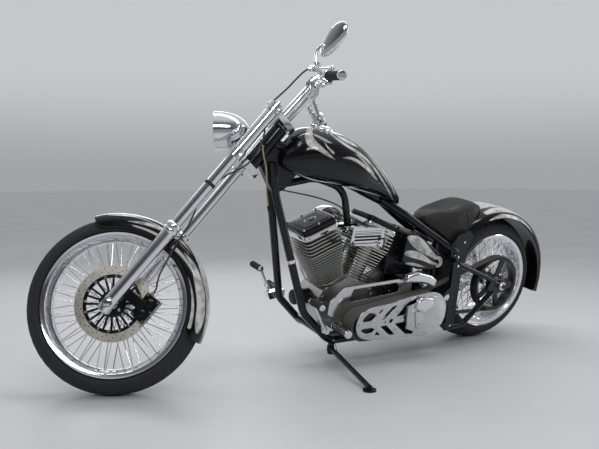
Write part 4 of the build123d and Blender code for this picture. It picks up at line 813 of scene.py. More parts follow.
class CHOPPER_OT_wheels(bpy.types.Operator):
    """Tyres with their tread, rolled rims, spoke nipples and the bolts on discs and pulley"""
    bl_idname = "chopper.wheels"
    bl_label = "Wheels"

    def execute(self, context):
        for wheel in WHEELS:
            self.tyre(wheel, context.scene.chopper_sizes.tread * 1000)
            self.rim(wheel)
            self.nipples(wheel)
            self.disc_bolts(wheel)
        return {"FINISHED"}

    def tyre(self, wheel, depth):
        """A closed tyre: its outside with the tread, and its inside over the rim."""
        profile = tyre_profile(wheel.outer, wheel.crown, wheel.spread, wheel.rim_r, wheel.half - 6)
        outside = tread(profile, wheel, depth)
        y, inner_r = profile[0][1] * 0.9, wheel.rim_r - 11
        inner = lathe([profile[0], (inner_r, y), (inner_r, -y), profile[-1]], wheel.centre, wheel.axis,
                      wheel.steps)
        place(wheel.name + "_tyre_tread", [outside, inner], "tyre", wheel.name + "_wheel", "tyre",
              (wheel.name + "_tyre",), 32)

    def rim(self, wheel):
        """A rolled rim: half a section and its mirror, turned about the axle."""
        r, half = wheel.rim_r, wheel.half
        lip = r + 1.5
        section = np.array([
            (r - 30, -0.36 * half), (r - 14, -0.55 * half), (r - 13, -half + 5), (r - 2, -half + 4),
            (lip, -half + 1.5), (lip + 0.6, -half - 1.5), (lip - 2.5, -half - 3.4), (r - 6, -half - 1),
            (r - 16, -half + 1.5), (r - 19, -0.62 * half), (r - 32, -0.42 * half), (r - 35, -0.3 * half)])
        section = np.concatenate([section, section[::-1] * (1, -1), section[:1]])
        place(wheel.name + "_rim_shell", [lathe(section, wheel.centre, wheel.axis, 200)], "chrome",
              wheel.name + "_wheel", "chrome", (wheel.name + "_rim",), 50)

    def nipples(self, wheel):
        """A nipple where each spoke meets the rim's well, along the spoke's own direction."""
        flat, top = BACKWARD, UPRIGHT
        if wheel.name == "front":
            flat, top = steered_way([(1, 0, 0), (0, 0, 1)])
        index = np.arange(30)
        lead = np.where(index % 2, 1, -1)
        for side, word in zip(SIDES, ("left", "right")):
            at_hub = index * pi / 15 + (side > 0) * pi / 30
            at_rim = at_hub + lead * radians(26)
            flange = (side * (wheel.flange_y + lead * 3))[:, None] * wheel.axis
            start = wheel.hub_r * swing(at_hub, flat, top) + flange
            end = (wheel.rim_r - 34) * swing(at_rim, flat, top) + side * 6 * wheel.axis
            made = studs(wheel.centre + end / 1000, unit(start - end), 3.6, 15, 6)
            place(f"{wheel.name}_nipples_{word}", [made], "chrome", wheel.name + "_wheel", "chrome")

    def disc_bolts(self, wheel):
        """Ring of bolts through the disc's carrier, the rivets of its steel ring, and the pulley's bolts."""
        flat, top = basis(wheel.axis)
        out = np.sign(wheel.disc_y)
        made = []
        for count, radius, size, height in ((5, 36, 6.0, 6.0), (16, 104.5, 4.6, 3.4)):
            angle = np.arange(count) * 2 * pi / count + 0.1
            spots = radius * swing(angle, flat, top) + (wheel.disc_y + out * 3.0) * wheel.axis
            made.append(studs(wheel.centre + spots / 1000, wheel.axis * out, size, height))
        place(wheel.name + "_disc_bolts", made, "polished", wheel.name + "_wheel", "steel")
        if wheel.name == "rear":
            spots = 30 * swing(np.arange(5) * 2 * pi / 5, flat, top) - 149.0 * wheel.axis
            place("rear_pulley_bolts", [studs(wheel.centre + spots / 1000, -wheel.axis, 5, 5)], "chrome",
                  "rear_wheel", "chrome")


class CHOPPER_OT_headlight(bpy.types.Operator):
    """Bullet headlight: polished shell, rim, fluted domed lens and the reflector behind it"""
    bl_idname = "chopper.headlight"
    bl_label = "Headlight"

    def execute(self, context):
        ahead = -steered_way((1, 0, 0))
        centre = steered((386, 0, 1047))
        shell = np.array([(66, -14), (74.5, -8), (76, -1), (79, 1.6), (81.2, -0.5), (81.3, -5), (80, -9),
                          (79.6, -16), (78.5, -36), (74.5, -60), (66.5, -84), (54.5, -106), (39, -124),
                          (21, -137), (7, -143), (0, -144), (0, -139), (36, -118), (60, -84), (72, -40),
                          (66, -14)])
        place("headlight_bullet", [lathe(shell, centre, ahead, 128)], "chrome", "steering", "chrome",
              ("headlight_shell",), 40)
        glass = np.array([(0, 1.5), (20, 1.2), (40, -0.4), (58, -3.2), (70, -6.6), (74.8, -9.5), (74, -12),
                          (56, -8), (30, -5), (0, -4)])
        flutes = 1 + 0.004 * np.cos(np.linspace(0, 2 * pi, 193) * 36)
        place("headlight_glass", [lathe(glass, centre, ahead, 192, glass[:, 0][None] * flutes[:, None])],
              "lens_glass", "steering", "glass", ("headlight_lens",), 40)
        bowl = [(72, -14), (66, -30), (52, -52), (32, -68), (12, -75), (0, -76), (0, -79), (34, -72),
                (56, -54), (70, -30), (72, -14)]
        place("headlight_bowl", [lathe(bowl, centre, ahead, 96)], "polished", "steering", "aluminium")
        bulb = [(0, -40), (7, -42), (9, -50), (9, -76), (0, -76)]
        place("headlight_bulb", [lathe(bulb, centre, ahead, 24)], "polished", "steering", "aluminium")
        stalk = leg([(764, -8, 0), (782, -8, 0), (800, -12, 0)])
        path = flow(np.concatenate([stalk, [steered((459, 0, 984))]]), 24)
        bolts = studs(leg([(780, -8, -13), (780, -8, 13)]), leg_way([(0, 0, -1), (0, 0, 1)]), 7, 5)
        place("headlight_stalk", [sweep(path, circle(20) * 12.5, RIGHT), bolts], "chrome", "steering",
              "chrome")
        return {"FINISHED"}


def flat(name, outlines, origin, ways, thick, bevel, material, body, slot, stands_for=()):
    """A plate cut from closed outlines, the first around the others, with its edges rounded."""
    curve = bpy.data.curves.new(name, "CURVE")
    curve.dimensions, curve.fill_mode = "2D", "BOTH"
    curve.bevel_depth, curve.offset = bevel / 1000, -bevel / 1000
    curve.extrude = thick / 2000 - bevel / 1000
    curve.bevel_resolution = 2
    for outline in outlines:
        outline = np.asarray(outline, float) / 1000
        made = curve.splines.new("POLY")
        made.points.add(len(outline) - 1)
        made.points.foreach_set("co", np.c_[outline, np.zeros(len(outline)), np.ones(len(outline))].ravel())
        made.use_cyclic_u = True
    drawn = bpy.data.objects.new(name + "_outline", curve)
    bpy.context.scene.collection.objects.link(drawn)
    mesh = bpy.data.meshes.new_from_object(drawn.evaluated_get(bpy.context.evaluated_depsgraph_get()))
    bpy.data.objects.remove(drawn)
    ways = unit(ways)
    seat = Matrix([(*row, at) for row, at in zip(ways.T, np.asarray(origin))] + [(0, 0, 0, 1)])
    mesh.transform(seat)
    soften(mesh, 35, 2e-6)
    return settle(name, mesh, material, body, slot, stands_for)


def smooth_loop(points, count):
    """A closed outline through some points: a spline that runs on past its start by three points."""
    points = np.asarray(points, float)
    wrapped = np.concatenate([points[-3:], points, points[:4]])
    at = run_of(wrapped)
    where = np.linspace(at[3], at[3 + len(points)], count, endpoint=False)
    return spline(at, wrapped, where)


def rounded_corners(points, r, steps=4):
    """An outline with each corner cut back by r and carried round by a quadratic arc."""
    points = np.asarray(points, float)
    before, after = np.roll(points, 1, 0) - points, np.roll(points, -1, 0) - points
    shorter = np.minimum(np.linalg.norm(before, axis=1), np.linalg.norm(after, axis=1))
    cut = np.minimum(r, 0.4 * shorter)[:, None]
    start, end = points + unit(before) * cut, points + unit(after) * cut
    t = np.linspace(0, 1, steps)[None, :, None]
    made = (1 - t) ** 2 * start[:, None] + 2 * t * (1 - t) * points[:, None] + t ** 2 * end[:, None]
    return made.reshape(-1, 2)


def jug(lean, points):
    """Points of one cylinder: along its fins, to the right, and up its axis from the crank."""
    points = np.asarray(points, float)
    c, s = cos(CYLINDER_LEAN), sin(CYLINDER_LEAN)
    x = CRANK[0] + points[..., 0] * c - lean * points[..., 2] * s
    z = CRANK[1] + points[..., 0] * lean * s + points[..., 2] * c
    return bike(np.stack([x, points[..., 1], z], -1))


def jug_ways(lean):
    """Up a cylinder's axis, along its fins and to the right."""
    c, s = cos(CYLINDER_LEAN), sin(CYLINDER_LEAN)
    return bike_way([(-lean * s, 0, c), (c, 0, lean * s), (0, 1, 0)])


def outward(spots):
    """To the left or right, away from the middle, for each of some points."""
    return bike_way([(0, np.sign(y), 0) for _, y, _ in spots])


BARREL_FINS, HEAD_FINS = 12, 5
FLAT_WAYS = bike_way([(1, 0, 0), (0, 0, 1), (0, 1, 0)])


class CHOPPER_OT_engine(bpy.types.Operator):
    """Rocker boxes, fin edges with painted highlight, pushrod tubes, plugs with leads, and the cases' covers
    """
    bl_idname = "chopper.engine"
    bl_label = "Engine"

    def execute(self, context):
        tops, bands, pads, rims, bolts, edges = [], [], [], [], [], []
        # Dark bars on the left cover and on each rocker band: painted shade standing for their slots'
        # openings.
        slot_shades = [box_of(bike((1073, -129.5, z)), FLAT_WAYS, (72, 4.2, 1.6), 9, 10, 20)
                 for z in (574, 592, 610, 628)]
        for lean in (1, -1):
            ways = jug_ways(lean)
            bands.append(box_of(jug(lean, (0, 0, 427)), ways, (15.8, 92, 90), 9, 14, 64))
            tops.append(box_of(jug(lean, (0, 0, 454)), ways, (12.6, 88, 86), 9, 14, 64))
            tops.append(box_of(jug(lean, (0, 0, 466)), ways, (2.6, 66, 62), 7, 10, 64))
            pads.append(box_of(jug(lean, (0, 0, 468)), ways, (2.0, 25, 15), 2.4, 8, 48))
            loop = rounded(26.5, 16.5, 2.4, 48)
            path = jug(lean, np.c_[loop, np.full(len(loop), 468.6)])
            rims.append(sweep(path, circle(8) * 1.4, ways[0], closed=True))
            spots = [(a, y, 466.5) for a in (-77, 0, 77) for y in (-76, 76)]
            bolts.append(studs(jug(lean, spots), ways[0], 5.4, 5, 6))
            spots = [(a, y, 427) for a in (-70, 70) for y in (-91, 91)]
            bolts.append(studs(jug(lean, spots), outward(spots), 4.5, 3, 6))
            edges += self.fin_edges(lean, ways)
            slot_shades.append(box_of(jug(lean, (6, -90.6, 424)), ways[[1, 0, 2]], (22, 3.4, 1.2), 3, 10, 20))
        place("cover_slots", slot_shades, "black_cover", "frame", "black_metal")
        place("rocker_bands", bands, "polished", "frame", "aluminium")
        place("rocker_tops", tops, "black_cover", "frame", "black_metal", ("rocker_boxes",))
        place("emblem_places", pads, "black_cover", "frame", "black_metal")
        place("emblem_rims", rims, "chrome", "frame", "chrome")
        place("rocker_bolts", bolts, "chrome", "frame", "chrome")
        place("fin_edges", edges, "fin_edges", "frame", "fin_metal")
        self.tubes()
        self.plugs()
        self.case()
        self.covers()
        return {"FINISHED"}

    def fin_edges(self, lean, ways):
        """Painted highlight round each fin: a thin strip of lighter metal carried along its own rounded
        outline.
        """
        last = BARREL_FINS - 1
        barrel = [(172 + 158 / BARREL_FINS * (i + 0.5), 124 + 54 * i / last, 150 + 34 * i / last, 26)
                  for i in range(BARREL_FINS)]
        head = [(330 + 81 / HEAD_FINS * (i + 0.3), 180, 188, 20) for i in range(HEAD_FINS)]
        strip = np.array([(-0.5, -0.2), (0.45, -0.2), (0.75, 0.5), (0.75, 2.9), (0.45, 3.6), (-0.5, 3.6),
                          (-0.5, -0.2)])
        made = []
        for height, wide, deep, r in barrel + head:
            corner = np.array([(wide / 2, deep / 2), (-wide / 2, deep / 2), (-wide / 2, -deep / 2),
                               (wide / 2, -deep / 2)])
            turns = np.linspace(0, pi / 2, 7)
            arcs = [centre + r * np.stack([np.cos(turns + k * pi / 2), np.sin(turns + k * pi / 2)], -1)
                    for k, centre in enumerate(corner - r * np.sign(corner))]
            outline = np.concatenate([[(wide / 2, 0)], *arcs, [(wide / 2, 0)]])
            path = jug(lean, np.c_[outline, np.full(len(outline), height)])
            made.append(sweep(path, strip, ways[0], closed=True))
        return made

    def tubes(self):
        """Pushrod tubes on the right, with a collar at each end."""
        tubes, collars = [], []
        ring = [(0, 0), (11, 0), (12, 3), (12, 14), (10, 18), (0, 18)]
        for foot, lean, along in (((966, 96, 318), 1, -30), ((996, 100, 330), 1, 14),
                                  ((1044, 100, 330), -1, -14), ((1074, 96, 318), -1, 30)):
            ends = np.array([bike(foot), jug(lean, (along, 104, 404))])
            tubes.append(sweep(flow(ends, 6), circle(14) * 8.2, BACKWARD))
            way = unit(ends[1] - ends[0])
            collars += [lathe(ring, end, way * sign, 18) for end, sign in zip(ends, (1, -1))]
        place("pushrod_tubes", tubes, "chrome", "frame", "chrome")
        place("pushrod_collars", collars, "polished", "frame", "aluminium")

    def plugs(self):
        """Spark plug caps on the left, with their leads."""
        leads, caps = [], []
        plug = [(0, 0), (9, 0), (9.5, 10), (6.5, 12), (6.5, 24), (8, 26), (8, 44), (5, 48), (0, 48)]
        for lean, along, end in ((1, 34, (992, -118, 600)), (-1, -30, (1150, -118, 572))):
            seat, way = jug(lean, (along, -88, 366)), unit(bike_way((0, -1, 0)) + 0.35 * jug_ways(lean)[0])
            caps.append(lathe(plug, seat, way, 16))
            tip = seat + way * 0.045
            path = flow([tip, tip + way * 0.022, bike(np.array(end) + (0, -18, -26)), bike(end)], 30)
            leads.append(sweep(path, circle(10) * 3.6, BACKWARD))
        place("plug_caps", caps, "rubber", "frame", "rubber")
        place("plug_leads", leads, "rubber", "frame", "rubber")

    def case(self):
        """Cam cover, relay box, and the bolts of the crankcase and gearbox."""
        cam = [(0, 47), (60, 47), (74, 44), (88, 40), (95, 34), (97, 26), (97, 0), (0, 0)]
        place("cam_cover", [lathe(cam, bike((1012, 74.5, 260)), RIGHT, 96)], "chrome", "frame", "chrome")
        angle = np.arange(8) * pi / 4 + 0.2
        spots = np.stack([1012 + 84 * np.cos(angle), np.full(8, 116.0), 260 + 84 * np.sin(angle)], -1)
        made = [studs(bike(spots), RIGHT, 5, 5, 6)]
        spots = [(890, -87, 300), (890, -87, 330), (912, -87, 366), (1150, -87, 344), (1160, -87, 320)]
        made.append(studs(bike(spots), -RIGHT, 6, 6, 6))
        spots = [(x, y, z) for y in (-101, 101)
                 for x, z in ((1250, 180), (1250, 330), (1330, 372), (1440, 372), (1474, 330), (1474, 180),
                              (1360, 170))]
        made.append(studs(bike(spots), outward(spots), 5.5, 5, 6))
        relay = box_of(bike((1298, 0, 446)), FLAT_WAYS, (72, 50, 84), 9, 14, 48)
        place("relay_box", [relay], "black_cover", "frame", "plastic")
        place("case_bolts", made, "chrome", "frame", "chrome")

    def covers(self):
        """Starter end and cover, air cleaner, and the fluted can of the oil filter."""
        starter = [(0, 0), (24, 0), (31, 4), (34, 10), (36, 12), (36, 56), (0, 56)]
        place("starter_end", [lathe(starter, bike((1415, -161, 382)), RIGHT, 48)], "chrome", "frame",
              "chrome")
        cover = rounded_corners([(1262, 398), (1275, 431), (1337, 443), (1420, 422), (1456, 399),
                                 (1446, 364), (1371, 386)], 9)
        flat("starter_cover", [cover], bike((0, -182, 0)), LEFT_FACE, 40, 12.0, "chrome", "frame", "chrome")
        dome = [(0, 30), (24, 28), (46, 22), (62, 12), (66, 2), (66, 0), (0, 0)]
        place("air_cleaner_dome", [lathe(dome, bike((1022, 168, 595)), RIGHT, 80)], "chrome", "frame",
              "chrome")
        ring = [(90, 0), (94, 3), (95, 8), (95, 48), (94, 53), (90, 56), (88, 56), (88, 0), (90, 0)]
        place("air_cleaner_rim", [lathe(ring, bike((1022, 112, 595)), RIGHT, 96)], "polished", "frame",
              "aluminium")
        cup = np.array([(0, -86.5), (26, -86.5), (31, -84), (34.6, -78), (34.6, -8), (36, -6), (36, 0),
                        (0, 0)])
        flutes = 1 + 0.02 * np.cos(np.linspace(0, 2 * pi, 97) * 12)
        radii = cup[:, 0] * np.where((cup[:, 1] < -60) & (cup[:, 0] > 25), flutes[:, None], 1)
        place("oil_filter_can", [lathe(cup, bike((871.8, 0, 308)), BACKWARD, 96, radii)], "black_cover",
              "frame", "black_metal", ("oil_filter",))


PLATE_WINDOWS = (
    [(1000, 259), (1012, 280), (1034, 297), (1055, 295), (1075, 284), (1053, 260), (1025, 259)],
    [(1105, 260), (1123, 280), (1161, 314), (1190, 319), (1176, 306), (1131, 267), (1117, 259)],
    [(1185, 265), (1228, 306), (1253, 329), (1302, 336), (1302, 320), (1244, 306), (1242, 269)],
    [(1147, 242), (1155, 257), (1170, 257), (1168, 242), (1159, 236)],
    [(1084, 290), (1099, 306), (1112, 305), (1094, 289)],
    [(996, 222), (1016, 227), (1056, 226), (1073, 217), (1061, 205), (1033, 202), (1014, 206)],
    [(1075, 189), (1088, 206), (1105, 187)],
    [(1103, 227), (1135, 229), (1189, 181), (1158, 181)],
    [(1183, 232), (1239, 235), (1249, 227), (1248, 200), (1292, 186), (1296, 171), (1250, 175)],
)


class CHOPPER_OT_primary_drive(bpy.types.Operator):
    """Open outer plate with its windows and bolts, clutch cover with its faceted dome, and belt teeth"""
    bl_idname = "chopper.primary_drive"
    bl_label = "Primary drive"

    def execute(self, context):
        outline = smooth_loop([
            (972, 229), (976, 267), (990, 294), (1017, 311), (1117, 327), (1236, 347), (1364, 361),
            (1400, 360), (1434, 347), (1466, 317), (1480, 284), (1479, 249), (1465, 213), (1430, 176),
            (1396, 160), (1265, 160), (1026, 176), (994, 190), (978, 210)], 120)
        windows = [rounded_corners(window, 5) for window in PLATE_WINDOWS]
        flat("outer_plate", [outline, *windows], bike((0, -250, 0)), LEFT_FACE, 8, 1.6, "satin_plate",
             "frame", "aluminium", ("primary_outer_plate",))
        posts = [sweep(bike([(x, -246.2, z), (x, -200, z), (x, -166.2, z)]), circle(12) * 8, BACKWARD)
                 for x, z in ((1130, 240), (1236, 250))]
        place("plate_posts", posts, "polished", "frame", "aluminium")
        seats = [(x, -254, z) for x, z in ((985, 243), (1130, 243), (1192, 284), (1190, 205), (1219, 250))]
        place("plate_bolts", [studs(bike(seats), -RIGHT, 5.2, 4.4, 6)], "chrome", "frame", "chrome")
        disc = [(0, 24), (78, 24), (85, 22), (89, 17), (89.5, 12), (89.5, 0), (0, 0)]
        place("clutch_plate", [lathe(disc, bike((CLUTCH[0], -241, CLUTCH[1])), -RIGHT, 120)], "polished",
              "frame", "chrome", ("clutch_cover",))
        step = rounded_corners([(1235, 309), (1276, 319), (1290, 344), (1331, 347), (1388, 338), (1421, 296),
                                (1432, 248), (1419, 198), (1369, 174), (1291, 186), (1240, 206),
                                (1236, 270)], 12, 6)
        dome = rounded_corners([(1273, 300), (1275, 335), (1298, 352), (1357, 347), (1377, 325), (1369, 306),
                                (1340, 289), (1318, 279)], 8)
        neck = rounded_corners([(1273, 292), (1318, 284), (1332, 250), (1331, 205), (1292, 203)], 10)
        for name, outline, y, thick, bevel, material, slot in (
                ("clutch_step", step, -267, 7, 1.8, "satin_plate", "aluminium"),
                ("clutch_dome", dome, -279, 20, 9.0, "chrome", "chrome"),
                ("clutch_neck", neck, -274, 10, 4.0, "satin_plate", "aluminium")):
            flat(name, [outline], bike((0, y, 0)), LEFT_FACE, thick, bevel, material, "frame", slot)
        seats = [(1258, -270.4, 292), (1262, -270.4, 222), (1304, -279, 222), (1398, -270.4, 300)]
        place("clutch_bolts", [studs(bike(seats), -RIGHT, 4.6, 4, 6)], "chrome", "frame", "chrome")
        self.teeth()
        return {"FINISHED"}

    def teeth(self):
        """Teeth on the inside of both belts: small blocks spaced evenly round each belt's inner loop."""
        for name, front, front_r, rear, rear_r, low, high, pitch in (
                ("primary", CRANK, 62, CLUTCH, 92, -241, -169, 11.0),
                ("final", CLUTCH, 52.6, (WHEELBASE, REAR_Z), 138.9, -152, -122, 14.0)):
            apart = np.subtract(rear, front)
            heading, span = np.arctan2(apart[1], apart[0]), np.hypot(*apart)
            spread = np.arccos((front_r - rear_r) / span)
            loop = np.concatenate([rear + rear_r * arc(heading - spread, heading + spread, 60),
                                   front + front_r * arc(heading + spread, heading - spread + 2 * pi, 60)])
            loop = np.concatenate([loop, loop[:1]])
            at = run_of(loop)
            count = int(at[-1] / pitch)
            where = np.arange(count) * at[-1] / count
            x, z = np.interp(where, at, loop[:, 0]), np.interp(where, at, loop[:, 1])
            ahead = unit(np.stack([np.interp(where + 1, at, loop[:, 0]) - x,
                                   np.interp(where + 1, at, loop[:, 1]) - z], -1))
            inward = np.stack([-ahead[:, 1], ahead[:, 0]], -1)
            corner = np.array([(-0.32, -0.4), (0.32, -0.4), (0.22, 2.2), (-0.22, 2.2), (-0.32, -0.4)])
            corner = corner * (pitch, 1)
            x = x[:, None] + ahead[:, :1] * corner[:, 0] + inward[:, :1] * corner[:, 1]
            z = z[:, None] + ahead[:, 1:] * corner[:, 0] + inward[:, 1:] * corner[:, 1]
            rows = [np.stack([x, np.full_like(x, y), z], -1) for y in (low, high)]
            caps = [np.broadcast_to(row[:, :4].mean(1, keepdims=True), row.shape) for row in rows]
            made = copies(bike(np.stack([caps[0], *rows, caps[1]], 1)))
            place(name + "_belt_teeth", [made], "belt", "frame", "belt")


class CHOPPER_OT_seat(bpy.types.Operator):
    """Leather saddle: crowned sections over the mudguard with a dished middle, creases and welts"""
    bl_idname = "chopper.seat"
    bl_label = "Seat"

    def execute(self, context):
        table = np.array([  # ahead of the rear axle, upper edge, lower edge, half width, dish
            (84, 372, 366, 26, 0), (96, 386, 362, 56, 0), (122, 401, 350, 84, 0), (160, 411, 326, 106, 0),
            (200, 413, 296, 117, 4), (236, 411, 262, 118.5, 20), (262, 408, 238, 118.5, 32),
            (300, 401, 217, 114, 38), (340, 391, 240, 97, 32), (380, 377, 272, 76, 18),
            (416, 358, 296, 56, 6), (438, 340, 312, 38, 0), (446, 328, 318, 24, 0)], float)
        back, nose = table[[0, -1], 0]
        ahead = np.linspace(back, nose, 190)
        high, low, half, dish = spline(table[:, 0], table[:, 1:], ahead).T
        close = np.sqrt(1 - np.clip(1 - np.minimum(ahead - back, nose - ahead) / 12, 0, 1) ** 2)
        around = np.linspace(-pi, pi, 161)
        c, s = np.cos(around), np.sin(around)
        wide = np.sign(s) * np.abs(s) ** np.where(c > 0, 2 / 2.9, 2 / 11)
        y = (half * close)[:, None] * wide
        middle = low + 0.36 * (high - low)
        lift = np.where(c > 0, np.abs(c) ** (2 / 2.5), -np.abs(c) ** (2 / 11))
        reach = np.where(c > 0, (high - middle)[:, None], (middle - low)[:, None]) * close[:, None]
        z = middle[:, None] + reach * lift
        hollow = dish[:, None] * np.exp(-(y / (0.62 * half[:, None])) ** 4) * np.clip(c, 0, 1) ** 0.5
        fold = 4.0 * np.exp(-((ahead[:, None] - 232 - 0.25 * (z - 340)) / 6.0) ** 2)
        fold = fold * np.clip(np.abs(s) - 0.4, 0, 1) * 1.7
        pucker = 1.1 * np.sin(ahead[:, None] / 7.5 + 2 * np.sin(around * 2))
        pucker = pucker * np.exp(-((np.abs(around) - 1.25) / 0.14) ** 2)
        z = z - hollow
        y = y - np.sign(s) * (fold + pucker * close[:, None])
        guard_r = np.interp(np.abs(y), (0, 60, 100, 126), (383.2, 381.2, 374.2, 361)) + 0.6
        floor = np.sqrt(np.clip(guard_r ** 2 - ahead[:, None] ** 2, 0, None))
        z = np.where(ahead[:, None] < 292, np.maximum(z, floor), z)
        points = np.stack([np.broadcast_to(WHEELBASE - ahead[:, None], y.shape), y, REAR_Z + z], -1)
        pad = place("saddle", [grid(bike(capped(points)))], "leather", "frame", "leather", ("seat",), 60)
        welts = []
        for column, r in ((40, 2.1), (120, 2.1), (57, 1.5), (103, 1.5)):
            line = points[6:-6:3, column]
            line = line + np.array([0, 0.8, 0]) * np.sign(line[:, 1:2])
            welts.append(sweep(bike(line), circle(10) * r, UPRIGHT))
        place("saddle_welts", welts, "leather", "frame", "leather")
        return {"FINISHED"}


BAR_TIP, BAR_KNEE, BAR_BORE = (1156.0, 177.0), (1178.0, 85.0), 12.9


def bar_end(side):
    """The bar's tip on one side, in metres, and the direction from it along the bar."""
    tip, knee = leg((*BAR_TIP, side * 400.0)), leg((*BAR_KNEE, side * 210.0))
    return tip, unit(knee - tip)


class CHOPPER_OT_bar_controls(bpy.types.Operator):
    """Ribbed grips with chrome ends, switch rings and bolts on the controls, and the mirror"""
    bl_idname = "chopper.bar_controls"
    bl_label = "Bar and controls"

    def execute(self, context):
        grips, ends, rings, bolts, boxes, keys = [], [], [], [], [], []
        height = np.linspace(6, 121, 116)
        ribs = np.stack([16.2 + 1.1 * np.abs(np.sin(pi * height / 8)) ** 0.6, height], -1)
        grip = np.concatenate([[(BAR_BORE, 6)], ribs, [(18.4, 121.5), (18.4, 125), (BAR_BORE, 125),
                                                       (BAR_BORE, 6)]])
        cap = [(0, -2.6), (11, -2.4), (16, -1.2), (17.9, 1.6), (17.9, 8), (16.4, 9), (0, 9)]
        ring = [(21.5, 0), (23.2, 1), (23.6, 4), (23.2, 7), (21.5, 8), (BAR_BORE, 8), (BAR_BORE, 0),
                (21.5, 0)]
        lid = [(0, 4), (17, 4), (21.4, 2), (22.2, -1), (22.2, -6), (0, -6)]
        for side in SIDES:
            tip, inward = bar_end(side)
            grips.append(lathe(grip, tip, inward, 40))
            ends.append(lathe(cap, tip, inward, 40))
            rings += [lathe(ring, tip + inward * start / 1000, inward, 40) for start in (129, 158, 187)]
            pivot = tip + inward * 0.177 - BEHIND * 0.052
            bolts.append(studs([pivot + ALONG * 0.0125, pivot - ALONG * 0.0125], [ALONG, -ALONG], 6.5, 5, 6))
            if side > 0:
                rings.append(lathe(lid, pivot + inward * 0.026 + ALONG * 0.036, ALONG, 40))
            housing = tip + inward * 0.150 - ALONG * 0.006
            ways = np.stack([inward, ALONG, BEHIND])
            boxes.append(box_of(housing, ways, (21, 27, 25), 5, 14, 40))
            lower = housing - ALONG * 0.034 + inward * 0.006
            boxes.append(box_of(lower, ways, (30, 12, 15), 3.2, 14, 32))
            seats = housing + BEHIND * 0.0245 + ALONG * np.array([[0.012], [-0.010]])
            keys.append(studs(seats, BEHIND, 6, 5, 16, 0.6))
        place("switch_housings", boxes, "chrome", "steering", "chrome")
        place("switch_keys", keys, "black_cover", "steering", "plastic")
        place("grip_sleeves", grips, "rubber", "steering", "rubber", ("grips",), 50)
        place("grip_ends", ends, "chrome", "steering", "chrome")
        place("switch_rings", rings, "satin_chrome", "steering", "chrome")
        place("control_bolts", bolts, "chrome", "steering", "chrome")
        self.mirror()
        return {"FINISHED"}

    def mirror(self):
        """A teardrop mirror, domed at its back, on a bowed stem."""
        centre = leg((1305, 36, -260))
        long, facing = unit(steered_way((0.58, -0.46, 0.68))), unit(steered_way((0.49, 0.86, 0.16)))
        long = unit(long - facing * (long @ facing))
        wide = np.cross(facing, long)
        along = np.linspace(-pi / 2, pi / 2, 40)
        around = np.linspace(0, 2 * pi, 65)
        taper = (1 + 0.16 * np.sin(along)) * np.cos(along)
        across = 37 * taper[:, None] * np.sign(np.cos(around)) * np.abs(np.cos(around)) ** 0.86
        thick = np.where(np.sin(around) > 0, 5.5, 15.0) * np.sin(around)
        thick = thick[None] * np.abs(np.cos(along[:, None])) ** 0.7
        points = (78.5 * np.sin(along)[:, None, None] * long + across[..., None] * wide
                  + thick[..., None] * facing) / 1000
        place("mirror_shell", [grid(centre + points)], "chrome", "steering", "chrome", ("mirror",), 50)
        points = (74 * np.sin(along)[:, None, None] * long + 0.91 * across[..., None] * wide
                  + (4.4 + np.sin(around)[None, :, None] * 1.8 * np.cos(along)[:, None, None] ** 0.3)
                  * facing) / 1000
        place("mirror_face", [grid(centre + points)], "mirror_glass", "steering", "glass")
        tip, inward = bar_end(-1)
        foot = tip + inward * 0.177 - BEHIND * 0.052 + ALONG * 0.010
        path = flow([foot, leg((1196, 34, -245)), leg((1218, 18, -248)), leg((1243, 10, -249)),
                     leg((1266, 15, -247))], 40)
        widths = 1.25 - 0.35 * np.linspace(0, 1, 40)
        place("mirror_stem", [sweep(path, rounded(7, 5.5, 2.6, 20), BEHIND, widths)], "chrome", "steering",
              "chrome")
        nut = [(0, -3), (11, -3), (11, 9), (8.5, 11), (0, 11)]
        place("mirror_nut", [lathe(nut, foot + ALONG * 0.004, ALONG, 6)], "chrome", "steering", "chrome",
              angle=20)


